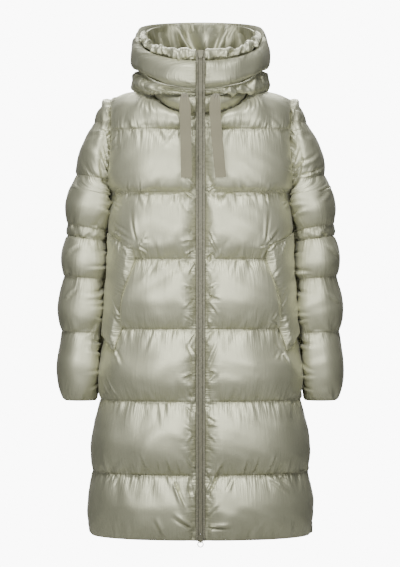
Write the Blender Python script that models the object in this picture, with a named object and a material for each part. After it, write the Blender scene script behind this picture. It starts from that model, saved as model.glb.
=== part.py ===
"""A long quilted puffer coat with a padded hood, zipped up, hollow and filled out.

Metres, +Z up. The origin is on the shoulder line at the neck. The front faces -Y and +X is
to the viewer's right. Every padded piece is a wall: a plain inside surface, and an outside
surface that swells between the quilting seams and comes down to the bare cloth on them.
"""

from collections import namedtuple
from math import atan2, cos, degrees, exp, log1p, pi, radians, sin

import bmesh
import bpy
import numpy as np
from mathutils import Vector

COLLECTION = "long_puffer_coat"

# --- driving dimensions -----------------------------------------------------------------

GAP = 0.0003  # between pieces that meet at a seam
CLOTH = 0.005  # the shell, the filling pressed flat and the inner cloth, on a quilting seam

HEM = -0.920
CHEST_SEAM = -0.2085  # also the level of the underarm
YOKE_SEAM = -0.0785

# Quilted channels of the body, bottom to top: where each starts and how far it swells.
Channel = namedtuple("Channel", "bottom top crown")
BODY_CHANNELS = (
    Channel(HEM, -0.787, 0.020),
    Channel(-0.787, -0.637, 0.025),
    Channel(-0.637, -0.489, 0.025),
    Channel(-0.489, -0.345, 0.024),
    Channel(-0.345, CHEST_SEAM, 0.023),
    Channel(CHEST_SEAM, YOKE_SEAM, 0.021),
)
YOKE_CROWN = 0.020
YOKE_FLATTENING = 0.85  # how much less the yoke swells at its top than at its seam
CHANNEL_STEPS = (0.0, 0.10, 0.24, 0.50, 0.76, 0.90)
YOKE_STEPS = (0.0, 0.15, 0.40, 0.70, 0.90, 1.0)

# The plain inside of the body: half its width, its depth before and behind the side seams,
# and how square the section is (2 is an ellipse).
Section = namedtuple("Section", "height half_width front back square")
BODY = (
    Section(HEM, 0.226, 0.150, 0.138, 2.3),
    Section(-0.850, 0.226, 0.149, 0.137, 2.3),
    Section(-0.787, 0.221, 0.147, 0.135, 2.3),
    Section(-0.637, 0.205, 0.141, 0.130, 2.4),
    Section(-0.489, 0.188, 0.134, 0.124, 2.5),
    Section(-0.345, 0.179, 0.129, 0.118, 2.6),
    Section(-0.270, 0.177, 0.128, 0.116, 2.8),
    Section(CHEST_SEAM, 0.180, 0.128, 0.115, 3.1),
    Section(-0.190, 0.186, 0.128, 0.115, 3.2),
    Section(-0.150, 0.191, 0.128, 0.114, 3.3),
    Section(YOKE_SEAM, 0.191, 0.127, 0.112, 3.3),
)

# The armhole: how far its front and back edges lie from the side seam's plane.
Armhole = namedtuple("Armhole", "height front back")
ARMHOLE = (
    Armhole(CHEST_SEAM, 0.0, 0.0),
    Armhole(-0.1955, 0.042, 0.044),
    Armhole(-0.1773, 0.058, 0.062),
    Armhole(-0.1435, 0.067, 0.073),
    Armhole(-0.1097, 0.068, 0.075),
    Armhole(-0.0915, 0.067, 0.073),
    Armhole(YOKE_SEAM, 0.064, 0.068),
)
ARMHOLE_MIDDLE = -0.110
ARMHOLE_HALF_HEIGHT = 0.098
ARMHOLE_HALF_DEPTH = 0.070
ARMHOLE_LEAN = 0.35  # how far the seam allowance turns out sideways

SHOULDER_POINT = (0.187, 0.0, -0.010)
NECK_POINT_ANGLE = 90.0  # where the shoulder seam meets the neck, round from the front

# The sleeve's plain inside at each height: nearest and furthest from the body, and its
# reach to the front and to the back of the side seam's plane. The seams of the sleeve rise
# by the last column towards the outer side.
CUFF = -0.640
ELBOW_SEAM = -0.302
Arm = namedtuple("Arm", "height inner outer front back rise")
SLEEVE = (
    Arm(CUFF, 0.219, 0.282, 0.048, 0.072, 0.000),
    Arm(-0.6000, 0.215, 0.287, 0.054, 0.078, 0.001),
    Arm(-0.5000, 0.203, 0.286, 0.060, 0.084, 0.002),
    Arm(-0.3800, 0.197, 0.281, 0.064, 0.086, 0.004),
    Arm(-0.2900, 0.194, 0.2755, 0.066, 0.086, 0.007),
    Arm(-0.2400, 0.193, 0.269, 0.072, 0.088, 0.008),
    Arm(CHEST_SEAM, 0.190, 0.262, 0.076, 0.088, 0.008),
    Arm(-0.1850, 0.165, 0.257, 0.077, 0.087, 0.008),
    Arm(-0.1600, 0.155, 0.251, 0.076, 0.085, 0.008),
    Arm(-0.1100, 0.150, 0.234, 0.073, 0.081, 0.005),
    Arm(-0.0630, 0.150, 0.218, 0.066, 0.072, 0.002),
    Arm(-0.0420, 0.155, 0.209, 0.056, 0.060, 0.000),
    Arm(-0.0240, 0.165, 0.199, 0.036, 0.038, 0.000),
    Arm(-0.0100, 0.180, 0.188, 0.010, 0.010, 0.000),
)
SLEEVE_CHANNELS = (
    Channel(CUFF, -0.4970, 0.013),
    Channel(-0.4970, -0.3840, 0.014),
    Channel(-0.3840, ELBOW_SEAM, 0.013),
    Channel(ELBOW_SEAM, -0.2790, 0.005),
    Channel(-0.2790, -0.1773, 0.014),
    Channel(-0.1773, -0.0630, 0.013),
    Channel(-0.0630, -0.0100, 0.009),
)
UNDERARM_ROWS = (-0.2160, -0.2250)
UNDERARM_ROOM = 0.012  # below them, before the first row of a channel
SLEEVE_SQUARE = 2.05
SLEEVE_FULL_FROM = (24.0, 82.0)  # degrees from the body's side, flat to full
SLEEVE_OUTER_SLACK = 0.35
# Sleeve columns, as shares of the way round from the body past the front to the back.
SLEEVE_HALF = (0.0, 0.035, 0.09, 0.15, 0.21, 0.275, 0.35, 0.425)
SLEEVE_SHARES = SLEEVE_HALF + (0.5,) + tuple(1 - share for share in reversed(SLEEVE_HALF))
ARMHOLE_PULL = (1.0, 0.6, 0.2)  # how much of the armhole's edge the first columns follow
SLEEVE_STEPS = (0.0, 0.12, 0.35, 0.65, 0.88)
BODY_CLEARANCE = 0.0055  # between the sleeve and the body beside it
WELT_ROOM = 0.008  # more of it in front, beside the pocket's welt
WELT_ROOM_FADES = 0.05  # below the welt
WELT_ROOM_STARTS = -0.26  # from this height down to the welt's top
CLEARANCE_SOFTNESS = 0.004
ARMHOLE_CLEARANCE = 0.0060
ARMHOLE_SEAM_GAP = 0.0005
SLEEVE_LEAN_SPREAD = 0.004  # height over which the sleeve's lean is measured
STEEPEST_LEAN = 1.5

# Front columns, as shares of the way from the zip to the side seam. Two of them follow the
# long edges of the pocket's welt, whose places the table gives.
FRONT_COLUMNS = (0.0, 0.05, 0.15, 0.27, 0.40, None, None, None, None, 0.93, 1.0)
WELT_INNER_COLUMN = 5
WELT_OUTER_COLUMN = 8
FRONT_NECK_COLUMNS = 7
Welt = namedtuple("Welt", "height inner outer")
WELT_EDGES = (
    Welt(HEM, 0.56, 0.84),
    Welt(-0.640, 0.64, 0.855),
    Welt(-0.533, 0.67, 0.865),
    Welt(-0.435, 0.61, 0.85),
    Welt(-0.317, 0.54, 0.83),
    Welt(-0.200, 0.54, 0.83),
    Welt(YOKE_SEAM, 0.56, 0.84),
)
WELT_TOP = -0.317
WELT_BOTTOM = -0.533
WELT_SLOPE = 0.026  # its short ends rise towards the side seam
WELT_PADDING = 0.004
WELT_CROWN = 0.024
WELT_EDGE_LIFT = 0.003
WELT_FULLNESS_AT = 0.8  # its fullness is the front's at this share of the way to the side
BACK_COLUMNS = (0.0, 0.035, 0.09, 0.16, 0.22, 0.28, 0.34, 0.395, 0.45, 0.5)
BACK_SHOULDER_COLUMNS = 3

ZIP_EDGE = 0.0100  # from the centre line to the edge of each front
ZIP_TAPE = 0.0014
CHAIN_HALF_WIDTH = 0.0032
CHAIN_THICKNESS = 0.0022
ZIP_TOP = 0.0800

# Rings of the collar and hood, inside and outside, from the neck seam up: half the width,
# the depth before and behind, and the height at the front, at the side and at the back.
# The height goes over from one to the next with a power of the cosine of the angle.
Ring = namedtuple(
    "Ring", "half_width front back front_height side_height back_height power back_power"
)
NECK_IN = Ring(0.0940, 0.1260, 0.0800, -0.0485, 0.0060, 0.0130, 1.6, 1.6)
NECK_OUT = Ring(0.0975, 0.1310, 0.0835, -0.0485, 0.0100, 0.0165, 1.6, 1.6)
COLLAR_IN = (
    NECK_IN,
    Ring(0.0935, 0.1280, 0.0795, -0.0390, 0.0120, 0.0200, 1.6, 1.6),
    Ring(0.0940, 0.1300, 0.0800, -0.0270, 0.0190, 0.0280, 1.8, 1.8),
    Ring(0.0950, 0.1320, 0.0810, -0.0125, 0.0290, 0.0400, 2.0, 2.0),
)
COLLAR_OUT = (
    NECK_OUT,
    Ring(0.1030, 0.1440, 0.0910, -0.0425, 0.0165, 0.0225, 1.6, 1.6),
    Ring(0.1060, 0.1560, 0.0950, -0.0280, 0.0180, 0.0250, 1.8, 1.8),
    Ring(0.1030, 0.1420, 0.0910, -0.0125, 0.0220, 0.0310, 2.0, 2.0),
)
SHELL_IN = (
    Ring(0.0950, 0.1320, 0.0810, -0.0117, 0.0298, 0.0408, 2.0, 2.0),
    Ring(0.1200, 0.1330, 0.1320, -0.0070, 0.0270, 0.0180, 2.0, 2.0),
    Ring(0.1310, 0.1335, 0.1620, -0.0035, 0.0330, 0.0380, 2.0, 2.0),
    Ring(0.1300, 0.1340, 0.1600, -0.0010, 0.0430, 0.0850, 2.0, 2.0),
    Ring(0.1290, 0.1340, 0.1460, 0.0010, 0.0500, 0.1160, 2.0, 2.0),
)
SHELL_OUT = (
    Ring(0.1030, 0.1420, 0.0910, -0.0117, 0.0228, 0.0318, 2.0, 2.0),
    Ring(0.1380, 0.1460, 0.1480, -0.0095, 0.0125, -0.0080, 2.0, 2.0),
    Ring(0.1455, 0.1470, 0.1760, -0.0045, 0.0230, 0.0200, 2.0, 2.0),
    Ring(0.1420, 0.1460, 0.1780, -0.0020, 0.0410, 0.0720, 2.0, 2.0),
    Ring(0.1370, 0.1430, 0.1580, 0.0010, 0.0500, 0.1160, 2.0, 2.0),
)
BAND_IN = (
    Ring(0.1290, 0.1340, 0.1460, 0.0018, 0.0508, 0.1168, 2.0, 2.0),
    Ring(0.1260, 0.1355, 0.1420, 0.0130, 0.0640, 0.1240, 1.8, 1.8),
    Ring(0.1240, 0.1365, 0.1390, 0.0280, 0.0800, 0.1320, 1.5, 1.5),
    Ring(0.1240, 0.1370, 0.1360, 0.0440, 0.0980, 0.1420, 1.2, 0.9),
    Ring(0.1240, 0.1370, 0.1340, 0.0560, 0.1190, 0.1560, 1.0, 0.7),
)
BAND_OUT = (
    Ring(0.1370, 0.1430, 0.1580, 0.0018, 0.0508, 0.1168, 2.0, 2.0),
    Ring(0.1440, 0.1570, 0.1600, 0.0100, 0.0620, 0.1220, 1.8, 1.8),
    Ring(0.1460, 0.1610, 0.1590, 0.0280, 0.0820, 0.1340, 1.5, 1.5),
    Ring(0.1440, 0.1580, 0.1520, 0.0460, 0.1050, 0.1500, 1.2, 0.9),
    Ring(0.1350, 0.1470, 0.1410, 0.0600, 0.1290, 0.1650, 1.0, 0.7),
)
# The ruched roll inside the band's front and sides: rings round its own section.
FACING = (
    Ring(0.1215, 0.1345, 0.1280, 0.0350, 0.0950, 0.1410, 1.2, 0.9),
    Ring(0.1215, 0.1345, 0.1280, 0.0605, 0.1200, 0.1570, 1.0, 0.7),
    Ring(0.1300, 0.1440, 0.1330, 0.0640, 0.1315, 0.1680, 1.0, 0.7),
    Ring(0.1270, 0.1430, 0.1300, 0.0740, 0.1360, 0.1700, 0.9, 0.7),
    Ring(0.1180, 0.1330, 0.1210, 0.0830, 0.1360, 0.1680, 0.9, 0.7),
    Ring(0.1070, 0.1210, 0.1100, 0.0810, 0.1270, 0.1600, 0.9, 0.7),
    Ring(0.1010, 0.1120, 0.1040, 0.0660, 0.1120, 0.1460, 0.9, 0.7),
    Ring(0.1020, 0.1110, 0.1050, 0.0460, 0.0950, 0.1320, 1.0, 0.7),
    Ring(0.1110, 0.1210, 0.1140, 0.0330, 0.0860, 0.1230, 1.2, 0.8),
)
FACING_END = 104.0  # degrees round from the zip
FACING_COLUMNS = 10
FACING_TAPER = 0.75  # how much thinner it is where it ends
FACING_TAPERS_FROM = 0.7  # share of its length
HOOD_SQUARE = 2.15

# The crown of the hood, folded in at the back: a sheet that hangs from the back rim.
Fold = namedtuple("Fold", "middle reach forward")
CROWN_FOLDS = (
    Fold(0.012, 0.034, 0.052),
    Fold(-0.062, 0.010, 0.010),
    Fold(-0.084, 0.009, 0.012),
    Fold(0.070, 0.016, 0.018),
)
CROWN_TOP = Ring(0.1220, 0.1300, 0.1320, 0.06, 0.1190, 0.1560, 1.0, 0.7)
CROWN_FOOT = Ring(0.1180, 0.1200, 0.1250, 0.00, 0.0560, 0.0660, 1.0, 1.0)
CROWN_INSET = 0.004  # from the rings in to the sheet
CROWN_START = 107.0
CROWN_COLUMNS = 24
CROWN_ROWS = (0.0, 0.12, 0.3, 0.5, 0.7, 0.88, 1.0)
CROWN_WALL = 0.004

RIBBON_THICKNESS = 0.0016
RIBBON_BOW = 0.0006
# Middle line of each drawstring end: sideways, depth and height, and the width it has there.
Ribbon = namedtuple("Ribbon", "across depth height width")
RIBBON_LEFT = (
    Ribbon(-0.0330, -0.1480, -0.0080, 0.008),
    Ribbon(-0.0328, -0.1560, -0.0100, 0.012),
    Ribbon(-0.0322, -0.1620, -0.0200, 0.019),
    Ribbon(-0.0316, -0.1645, -0.0350, 0.0225),
    Ribbon(-0.0308, -0.1640, -0.0600, 0.0225),
    Ribbon(-0.0300, -0.1635, -0.0900, 0.0225),
    Ribbon(-0.0294, -0.1640, -0.1200, 0.0225),
    Ribbon(-0.0290, -0.1650, -0.1520, 0.0225),
    Ribbon(-0.0286, -0.1650, -0.1810, 0.0225),
)
RIBBON_RIGHT = (
    Ribbon(0.0335, -0.1480, -0.0085, 0.008),
    Ribbon(0.0325, -0.1560, -0.0105, 0.012),
    Ribbon(0.0300, -0.1620, -0.0200, 0.019),
    Ribbon(0.0292, -0.1645, -0.0350, 0.0225),
    Ribbon(0.0304, -0.1640, -0.0600, 0.0225),
    Ribbon(0.0326, -0.1635, -0.0900, 0.0225),
    Ribbon(0.0354, -0.1640, -0.1200, 0.0225),
    Ribbon(0.0384, -0.1650, -0.1520, 0.0225),
    Ribbon(0.0412, -0.1650, -0.1800, 0.0225),
)

SLIDER_WIDTH = 0.0096
SLIDER_LENGTH = 0.0165
SLIDER_THICKNESS = 0.0034
SLIDER_BELOW_HEM = 0.0030
BOTTOM_SLIDER = HEM - SLIDER_BELOW_HEM
CHAIN_BOTTOM = BOTTOM_SLIDER + SLIDER_LENGTH + GAP
RING_RADIUS = 0.0056  # to the middle of its wire
RING_WIRE = 0.0018
RING_CLEARANCE = 0.0005  # all round the wire in its bridge
BRIDGE_WALL = 0.0012
BRIDGE_WIDTH = 0.0024
RING_AXIS = BOTTOM_SLIDER + BRIDGE_WALL + RING_CLEARANCE + RING_WIRE / 2


# --- tables and plain geometry ----------------------------------------------------------


def read(rows, column, place):
    """One column of a table at a place between its rows, along a smooth curve."""
    rows = sorted(rows, key=lambda row: row.height)
    places = [row.height for row in rows]
    values = [getattr(row, column) for row in rows]
    place = min(max(place, places[0]), places[-1])
    i = max(i for i in range(len(rows) - 1) if places[i] <= place or i == 0)
    slopes = [
        (values[k + 1] - values[k]) / (places[k + 1] - places[k]) for k in range(len(rows) - 1)
    ]

    def tangent(k):
        if k == 0 or k == len(rows) - 1:
            return slopes[0] if k == 0 else slopes[-1]
        before, after = slopes[k - 1], slopes[k]
        return 0.0 if before * after <= 0 else 2 * before * after / (before + after)

    step = places[i + 1] - places[i]
    t = (place - places[i]) / step
    start = (1 + 2 * t) * (1 - t) ** 2 * values[i] + t * (1 - t) ** 2 * step * tangent(i)
    end = t * t * (3 - 2 * t) * values[i + 1] + t * t * (t - 1) * step * tangent(i + 1)
    return start + end


def unit(vector):
    return np.asarray(vector, float) / np.linalg.norm(vector)


def mix(a, b, share):
    return np.asarray(a, float) * (1 - share) + np.asarray(b, float) * share


def ramp(value, start, end):
    t = min(max((value - start) / (end - start), 0.0), 1.0)
    return t * t * (3 - 2 * t)


def oval(angle, half_width, front, back, square):
    """A point of a squared oval, by its angle in degrees from the front towards +X."""
    s, c = sin(radians(angle)), cos(radians(angle))
    depth = front if c >= 0 else back
    reach = (abs(s / half_width) ** square + abs(c / depth) ** square) ** (-1 / square)
    return reach * s, -reach * c


def oval_normal(x, y, half_width, front, back, square):
    depth = front if y <= 0 else back
    nx = np.sign(x) * abs(x) ** (square - 1) / half_width**square
    ny = np.sign(y) * abs(y) ** (square - 1) / depth**square
    return unit((nx, ny, 0.0))


def loft(share):
    """How full the filling stands, from 0 on one seam to 1 half way to the next."""
    return sin(pi * min(max(share, 0.0), 1.0)) ** 0.75


def swelling(channels, height):
    for channel in channels:
        if channel.bottom <= height <= channel.top:
            share = (height - channel.bottom) / (channel.top - channel.bottom)
            return channel.crown * loft(share)
    return 0.0


# --- the body ---------------------------------------------------------------------------


def body_size(height):
    return [read(BODY, name, height) for name in ("half_width", "front", "back", "square")]


def body_point(angle, height):
    x, y = oval(angle, *body_size(height))
    return np.array((x, y, height))


def body_normal(point):
    return oval_normal(point[0], point[1], *body_size(point[2]))


def angle_at_zip(height):
    half_width, front, _, square = body_size(height)
    return degrees(atan2(ZIP_EDGE, front * (1 - (ZIP_EDGE / half_width) ** square) ** (1 / square)))


def angle_at_armhole(height, behind):
    """Where the armhole's edge crosses a section, from the front or behind."""
    half_width, front, back, square = body_size(height)
    depth = read(ARMHOLE, "back" if behind else "front", height)
    side = back if behind else front
    across = half_width * (1 - (depth / side) ** square) ** (1 / square)
    return degrees(atan2(across, -depth if behind else depth))


def armhole_direction(point):
    """The way the wall stands on the armhole's edge, away from the opening."""
    upward = (point[2] - ARMHOLE_MIDDLE) / ARMHOLE_HALF_HEIGHT
    outward = point[1] / ARMHOLE_HALF_DEPTH
    return unit((ARMHOLE_LEAN * np.sign(point[0]), outward, upward))


def front_share(column, height):
    """A front column's share of the way from the zip to the side seam."""
    fixed = FRONT_COLUMNS[column]
    if fixed is not None:
        return fixed
    inner = read(WELT_EDGES, "inner", height)
    outer = read(WELT_EDGES, "outer", height)
    steps = WELT_OUTER_COLUMN - WELT_INNER_COLUMN
    return inner + (outer - inner) * (column - WELT_INNER_COLUMN) / steps


def front_fullness(share):
    """Full across the front, pinched at the zip, and slack towards the side seam."""
    at_zip = ramp(share, -0.03, 0.16)
    at_side = 1 - 0.45 * ramp(share, 0.45, 0.92) - 0.40 * ramp(share, 0.88, 1.0)
    return at_zip * at_side if share > 0 else 0.0


def back_fullness(share):
    """The same across the back, from one side seam to the other."""
    edge = min(share, 1 - share)
    return 0.15 + 0.40 * ramp(edge, 0.0, 0.07) + 0.45 * ramp(edge, 0.05, 0.3)


def body_rows():
    """Heights of the body's rows, from the hem up to the yoke seam."""
    heights = []
    for channel in BODY_CHANNELS:
        for step in CHANNEL_STEPS:
            heights.append(channel.bottom + step * (channel.top - channel.bottom))
    return heights + [YOKE_SEAM]


def nearest_row(heights, height):
    return min(range(len(heights)), key=lambda i: abs(heights[i] - height))


def ring_point(ring, angle):
    """A point of a collar or hood ring, by its angle from the front towards +X."""
    x, y = oval(angle, ring.half_width, ring.front, ring.back, HOOD_SQUARE)
    c = cos(radians(angle))
    end, power = (
        (ring.front_height, ring.power) if c >= 0 else (ring.back_height, ring.back_power)
    )
    height = ring.side_height + (end - ring.side_height) * abs(c) ** power
    return np.array((x, y, height))


def zip_angle(ring):
    depth = ring.front * (1 - (ZIP_EDGE / ring.half_width) ** HOOD_SQUARE) ** (1 / HOOD_SQUARE)
    return degrees(atan2(ZIP_EDGE, depth))


def front_ring_angle(ring, column):
    """Angles of the front's columns on the neck, from the zip to the shoulder seam."""
    start = zip_angle(ring)
    return start + (NECK_POINT_ANGLE - start) * column / FRONT_NECK_COLUMNS


def shoulder_point(share):
    neck = ring_point(NECK_IN, NECK_POINT_ANGLE)
    return mix(neck, SHOULDER_POINT, share)


def yoke_column(start, start_normal, end, end_normal, fullness, edge):
    """A column of the yoke, from its seam up and over to the neck or the shoulder seam."""
    corner = np.array(
        (0.6 * start[0] + 0.4 * end[0], start[1] * 0.97, start[2] + 0.80 * (end[2] - start[2]))
    )
    inside, outside = [], []
    for step in YOKE_STEPS:
        a, b, c = (1 - step) ** 2, 2 * step * (1 - step), step * step
        point = a * start + b * corner + c * end
        normal = armhole_direction(point) if edge else unit(mix(start_normal, end_normal, step))
        inside.append(point)
        swell = YOKE_CROWN * loft(step) * fullness * (1 - YOKE_FLATTENING * step)
        outside.append(point + normal * (CLOTH + swell))
    return inside, outside


def panel(column_angles, fullness, top_points, edge_columns, slope):
    """Inside and outside grids of a front or the back, a row for each height."""
    heights = body_rows()
    inside, outside = [], []
    for row, height in enumerate(heights):
        angles = column_angles(height)
        inner_row, outer_row = [], []
        for column, angle in enumerate(angles):
            level = height + slope(row, column)
            base = body_point(angle, level)
            normal = body_normal(base)
            thick = CLOTH + swelling(BODY_CHANNELS, level) * fullness[row][column]
            if column in edge_columns and CHEST_SEAM - 1e-6 <= height:
                normal, thick = armhole_direction(base), CLOTH
            inner_row.append(base)
            outer_row.append(base + normal * thick)
        inside.append(inner_row)
        outside.append(outer_row)
    above = []
    for column, (end, end_normal) in enumerate(top_points):
        start = inside[-1][column]
        full, at_edge = fullness[-1][column], column in edge_columns
        above.append(yoke_column(start, body_normal(start), end, end_normal, full, at_edge))
    for step in range(1, len(YOKE_STEPS)):
        inside.append([column[0][step] for column in above])
        outside.append([column[1][step] for column in above])
    return np.array(inside), np.array(outside)


def front_grids():
    heights = body_rows()
    count = len(FRONT_COLUMNS)

    def angles(height):
        start = angle_at_zip(height)
        end = angle_at_armhole(height, False) if height > CHEST_SEAM else 90.0
        return [start + (end - start) * front_share(column, height) for column in range(count)]

    top_row = nearest_row(heights, WELT_TOP)
    bottom_row = nearest_row(heights, WELT_BOTTOM)

    def slope(row, column):
        """The rows at the welt's short ends lean with them."""
        if row not in (top_row, bottom_row):
            return 0.0
        target = WELT_TOP if row == top_row else WELT_BOTTOM
        along = ramp(column, WELT_INNER_COLUMN - 0.1, WELT_OUTER_COLUMN)
        back_again = 1 - ramp(column, WELT_OUTER_COLUMN, count - 1)
        start = (target - heights[row]) * ramp(column, 2, WELT_INNER_COLUMN)
        return (start + WELT_SLOPE * along) * back_again

    fullness = [
        [front_fullness(front_share(column, height)) for column in range(count)] for height in heights
    ]
    top = []
    for column in range(count):
        if column <= FRONT_NECK_COLUMNS:
            inner = ring_point(NECK_IN, front_ring_angle(NECK_IN, column))
            outer = ring_point(NECK_OUT, front_ring_angle(NECK_OUT, column))
            top.append((inner, unit(outer - inner)))
        else:
            share = (column - FRONT_NECK_COLUMNS) / (count - 1 - FRONT_NECK_COLUMNS)
            top.append((shoulder_point(share), unit((0.15, 0.0, 1.0))))
    inside, outside = panel(angles, fullness, top, (count - 1,), slope)
    return inside, outside, top_row, bottom_row


def back_grids():
    heights = body_rows()
    shares = BACK_COLUMNS + tuple(1 - share for share in reversed(BACK_COLUMNS[:-1]))
    last = len(shares) - 1

    def angles(height):
        start = angle_at_armhole(height, True) if height > CHEST_SEAM else 90.0
        return [start + (360 - 2 * start) * share for share in shares]

    fullness = [[back_fullness(share) for share in shares] for _ in heights]
    neck_columns = last - 2 * BACK_SHOULDER_COLUMNS
    top = []
    for column in range(last + 1):
        from_edge = min(column, last - column)
        if from_edge < BACK_SHOULDER_COLUMNS:
            point = shoulder_point(1 - from_edge / BACK_SHOULDER_COLUMNS)
            normal = unit((0.15, 0.0, 1.0))
            if column > last / 2:
                point, normal = point * (-1, 1, 1), normal * (-1, 1, 1)
            top.append((point, normal))
        else:
            angle = 90 + 180 * (column - BACK_SHOULDER_COLUMNS) / neck_columns
            inner, outer = ring_point(NECK_IN, angle), ring_point(NECK_OUT, angle)
            top.append((inner, unit(outer - inner)))
    return panel(angles, fullness, top, (0, last), lambda row, column: 0.0)


def body_outside(depth, height):
    """How far the body's outside reaches sideways, at a depth from the side seam's plane."""
    half_width, front, back, square = body_size(height)
    side = front if depth < 0 else back
    near = min(abs(depth) / (side + 2 * CLOTH), 0.995)
    across = half_width * (1 - near**square) ** (1 / square)
    share = degrees(atan2(across, abs(depth))) / 90
    fullness = front_fullness(share) if depth < 0 else back_fullness((1 - share) / 2)
    swell = CLOTH + swelling(BODY_CHANNELS, height) * fullness
    side += swell
    if abs(depth) >= side:
        return 0.0
    return (half_width + swell) * (1 - (abs(depth) / side) ** square) ** (1 / square)


# --- the sleeves ------------------------------------------------------------------------


def sleeve_rows(armhole_heights):
    """Row heights, top to bottom: the armhole's own, then a few to each channel."""
    below = []
    for channel in reversed(SLEEVE_CHANNELS):
        for step in reversed(SLEEVE_STEPS):
            height = channel.bottom + step * (channel.top - channel.bottom)
            if height < UNDERARM_ROWS[-1] - UNDERARM_ROOM:
                below.append(height)
    return sorted(set(armhole_heights), reverse=True) + list(UNDERARM_ROWS) + below


def sleeve_point(turn, height):
    """A point of the sleeve's inside; the turn is in degrees from the body round the front."""
    inner, outer, front, back = (
        read(SLEEVE, name, height) for name in ("inner", "outer", "front", "back")
    )
    half, middle = (outer - inner) / 2, (outer + inner) / 2
    s, c = -cos(radians(turn)), -sin(radians(turn))
    depth_size = front if c < 0 else back
    reach = (abs(s / half) ** SLEEVE_SQUARE + abs(c / depth_size) ** SLEEVE_SQUARE) ** (
        -1 / SLEEVE_SQUARE
    )
    x, y = middle + reach * s, reach * c
    normal = np.array(
        (
            np.sign(s) * abs(reach * s) ** (SLEEVE_SQUARE - 1) / half**SLEEVE_SQUARE,
            np.sign(c) * abs(reach * c) ** (SLEEVE_SQUARE - 1) / depth_size**SLEEVE_SQUARE,
            0.0,
        )
    )
    normal = unit(normal)
    if height < CHEST_SEAM + 0.001:
        above = ramp(height, WELT_ROOM_STARTS, WELT_TOP)
        beside_welt = ramp(height, WELT_BOTTOM - WELT_ROOM_FADES, WELT_BOTTOM) * above
        room = CLOTH + BODY_CLEARANCE + WELT_ROOM * beside_welt * ramp(-y, 0.0, 0.02)
        nearest = body_outside(y, height) + room
        x = nearest + CLEARANCE_SOFTNESS * log1p(exp(min((x - nearest) / CLEARANCE_SOFTNESS, 50)))
    rise = read(SLEEVE, "rise", height) * (x - middle) / half
    below, over = height - SLEEVE_LEAN_SPREAD, height + SLEEVE_LEAN_SPREAD
    lean = (read(SLEEVE, "outer", below) - read(SLEEVE, "outer", over)) / (over - below)
    normal[2] = min(max(lean, 0.0), STEEPEST_LEAN) * max(normal[0], 0.0)
    return np.array((x, y, height + rise)), unit(normal)


def clear_of_body(row, room):
    """Keeps a row of the sleeve outside the body, but for its ends on the armhole."""
    for column in range(1, len(row) - 1):
        x, y, height = row[column]
        row[column] = np.array((max(x, body_outside(y, height) + room), y, height))


def sleeve_grids(front_edge, back_edge):
    """Inside and outside of one whole sleeve; its edges on the armhole copy the body's.

    front_edge and back_edge are (inside, outside) point lists from the underarm up.
    """
    heights = [point[2] for point in front_edge[0]]
    rows = sleeve_rows(heights)
    inside, outside = [], []
    for height in rows:
        on_armhole = height >= CHEST_SEAM - 1e-6
        if on_armhole:
            k = heights.index(height)
            edges = (front_edge[0][k], front_edge[1][k]), (back_edge[0][k], back_edge[1][k])
            middle = (read(SLEEVE, "inner", height) + read(SLEEVE, "outer", height)) / 2
            first = degrees(atan2(-edges[0][0][1], middle - edges[0][0][0]))
            final = 360 - degrees(atan2(edges[1][0][1], middle - edges[1][0][0]))
            first, final = first + 1e-3, final - 1e-3
        else:
            first, final = 0.15, 359.85
        inner_row, outer_row = [], []
        for share in SLEEVE_SHARES:
            turn = first + (final - first) * share
            base, normal = sleeve_point(turn, height)
            away = ramp(min(turn, 360 - turn), *SLEEVE_FULL_FROM)
            at_outer = 1 - SLEEVE_OUTER_SLACK * ramp(abs(turn - 180), 60, 0)
            thick = CLOTH + swelling(SLEEVE_CHANNELS, height) * away * at_outer
            inner_row.append(base)
            outer_row.append(base + normal * thick)
        if on_armhole:
            for end, (inner_edge, outer_edge) in ((0, edges[0]), (-1, edges[1])):
                pull_inner = inner_edge - inner_row[end]
                pull_outer = outer_edge - outer_row[end]
                for away, share in enumerate(ARMHOLE_PULL):
                    column = away if end == 0 else -1 - away
                    inner_row[column] = inner_row[column] + pull_inner * share
                    outer_row[column] = outer_row[column] + pull_outer * share
            clear_of_body(inner_row, CLOTH + ARMHOLE_CLEARANCE)
            clear_of_body(outer_row, ARMHOLE_CLEARANCE)
        else:
            inner_row[0] = inner_row[0] - (0, GAP / 2, 0)
            outer_row[0] = outer_row[0] - (0, GAP / 2, 0)
            inner_row[-1] = inner_row[-1] + (0, GAP / 2, 0)
            outer_row[-1] = outer_row[-1] + (0, GAP / 2, 0)
        inside.append(inner_row)
        outside.append(outer_row)
    inside, outside = np.array(inside), np.array(outside)
    inside[0] = inside[0].mean(axis=0)
    outside[0] = outside[0].mean(axis=0)
    return inside, outside, rows


# --- making solids ----------------------------------------------------------------------


def material(name, colour, roughness, metallic=0.0):
    made = bpy.data.materials.new(name)
    made.use_nodes = True
    shader = made.node_tree.nodes["Principled BSDF"]
    shader.inputs["Base Color"].default_value = (*colour, 1.0)
    shader.inputs["Roughness"].default_value = roughness
    shader.inputs["Metallic"].default_value = metallic
    made.diffuse_color = (*colour, 1.0)
    return made


def add_object(name, mesh, finish):
    mesh.materials.append(finish)
    made = bpy.data.objects.new(name, mesh)
    coat.objects.link(made)
    return made


def add_faces(shape, name, finish):
    bmesh.ops.recalc_face_normals(shape, faces=shape.faces)
    mesh = bpy.data.meshes.new(name)
    shape.to_mesh(mesh)
    shape.free()
    mesh.shade_smooth()
    mesh.set_sharp_from_angle(angle=radians(50))
    return add_object(name, mesh, finish)


def new_face(shape, corners):
    corners = list(dict.fromkeys(corners))
    if len(corners) > 2:
        shape.faces.new(corners)


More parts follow.
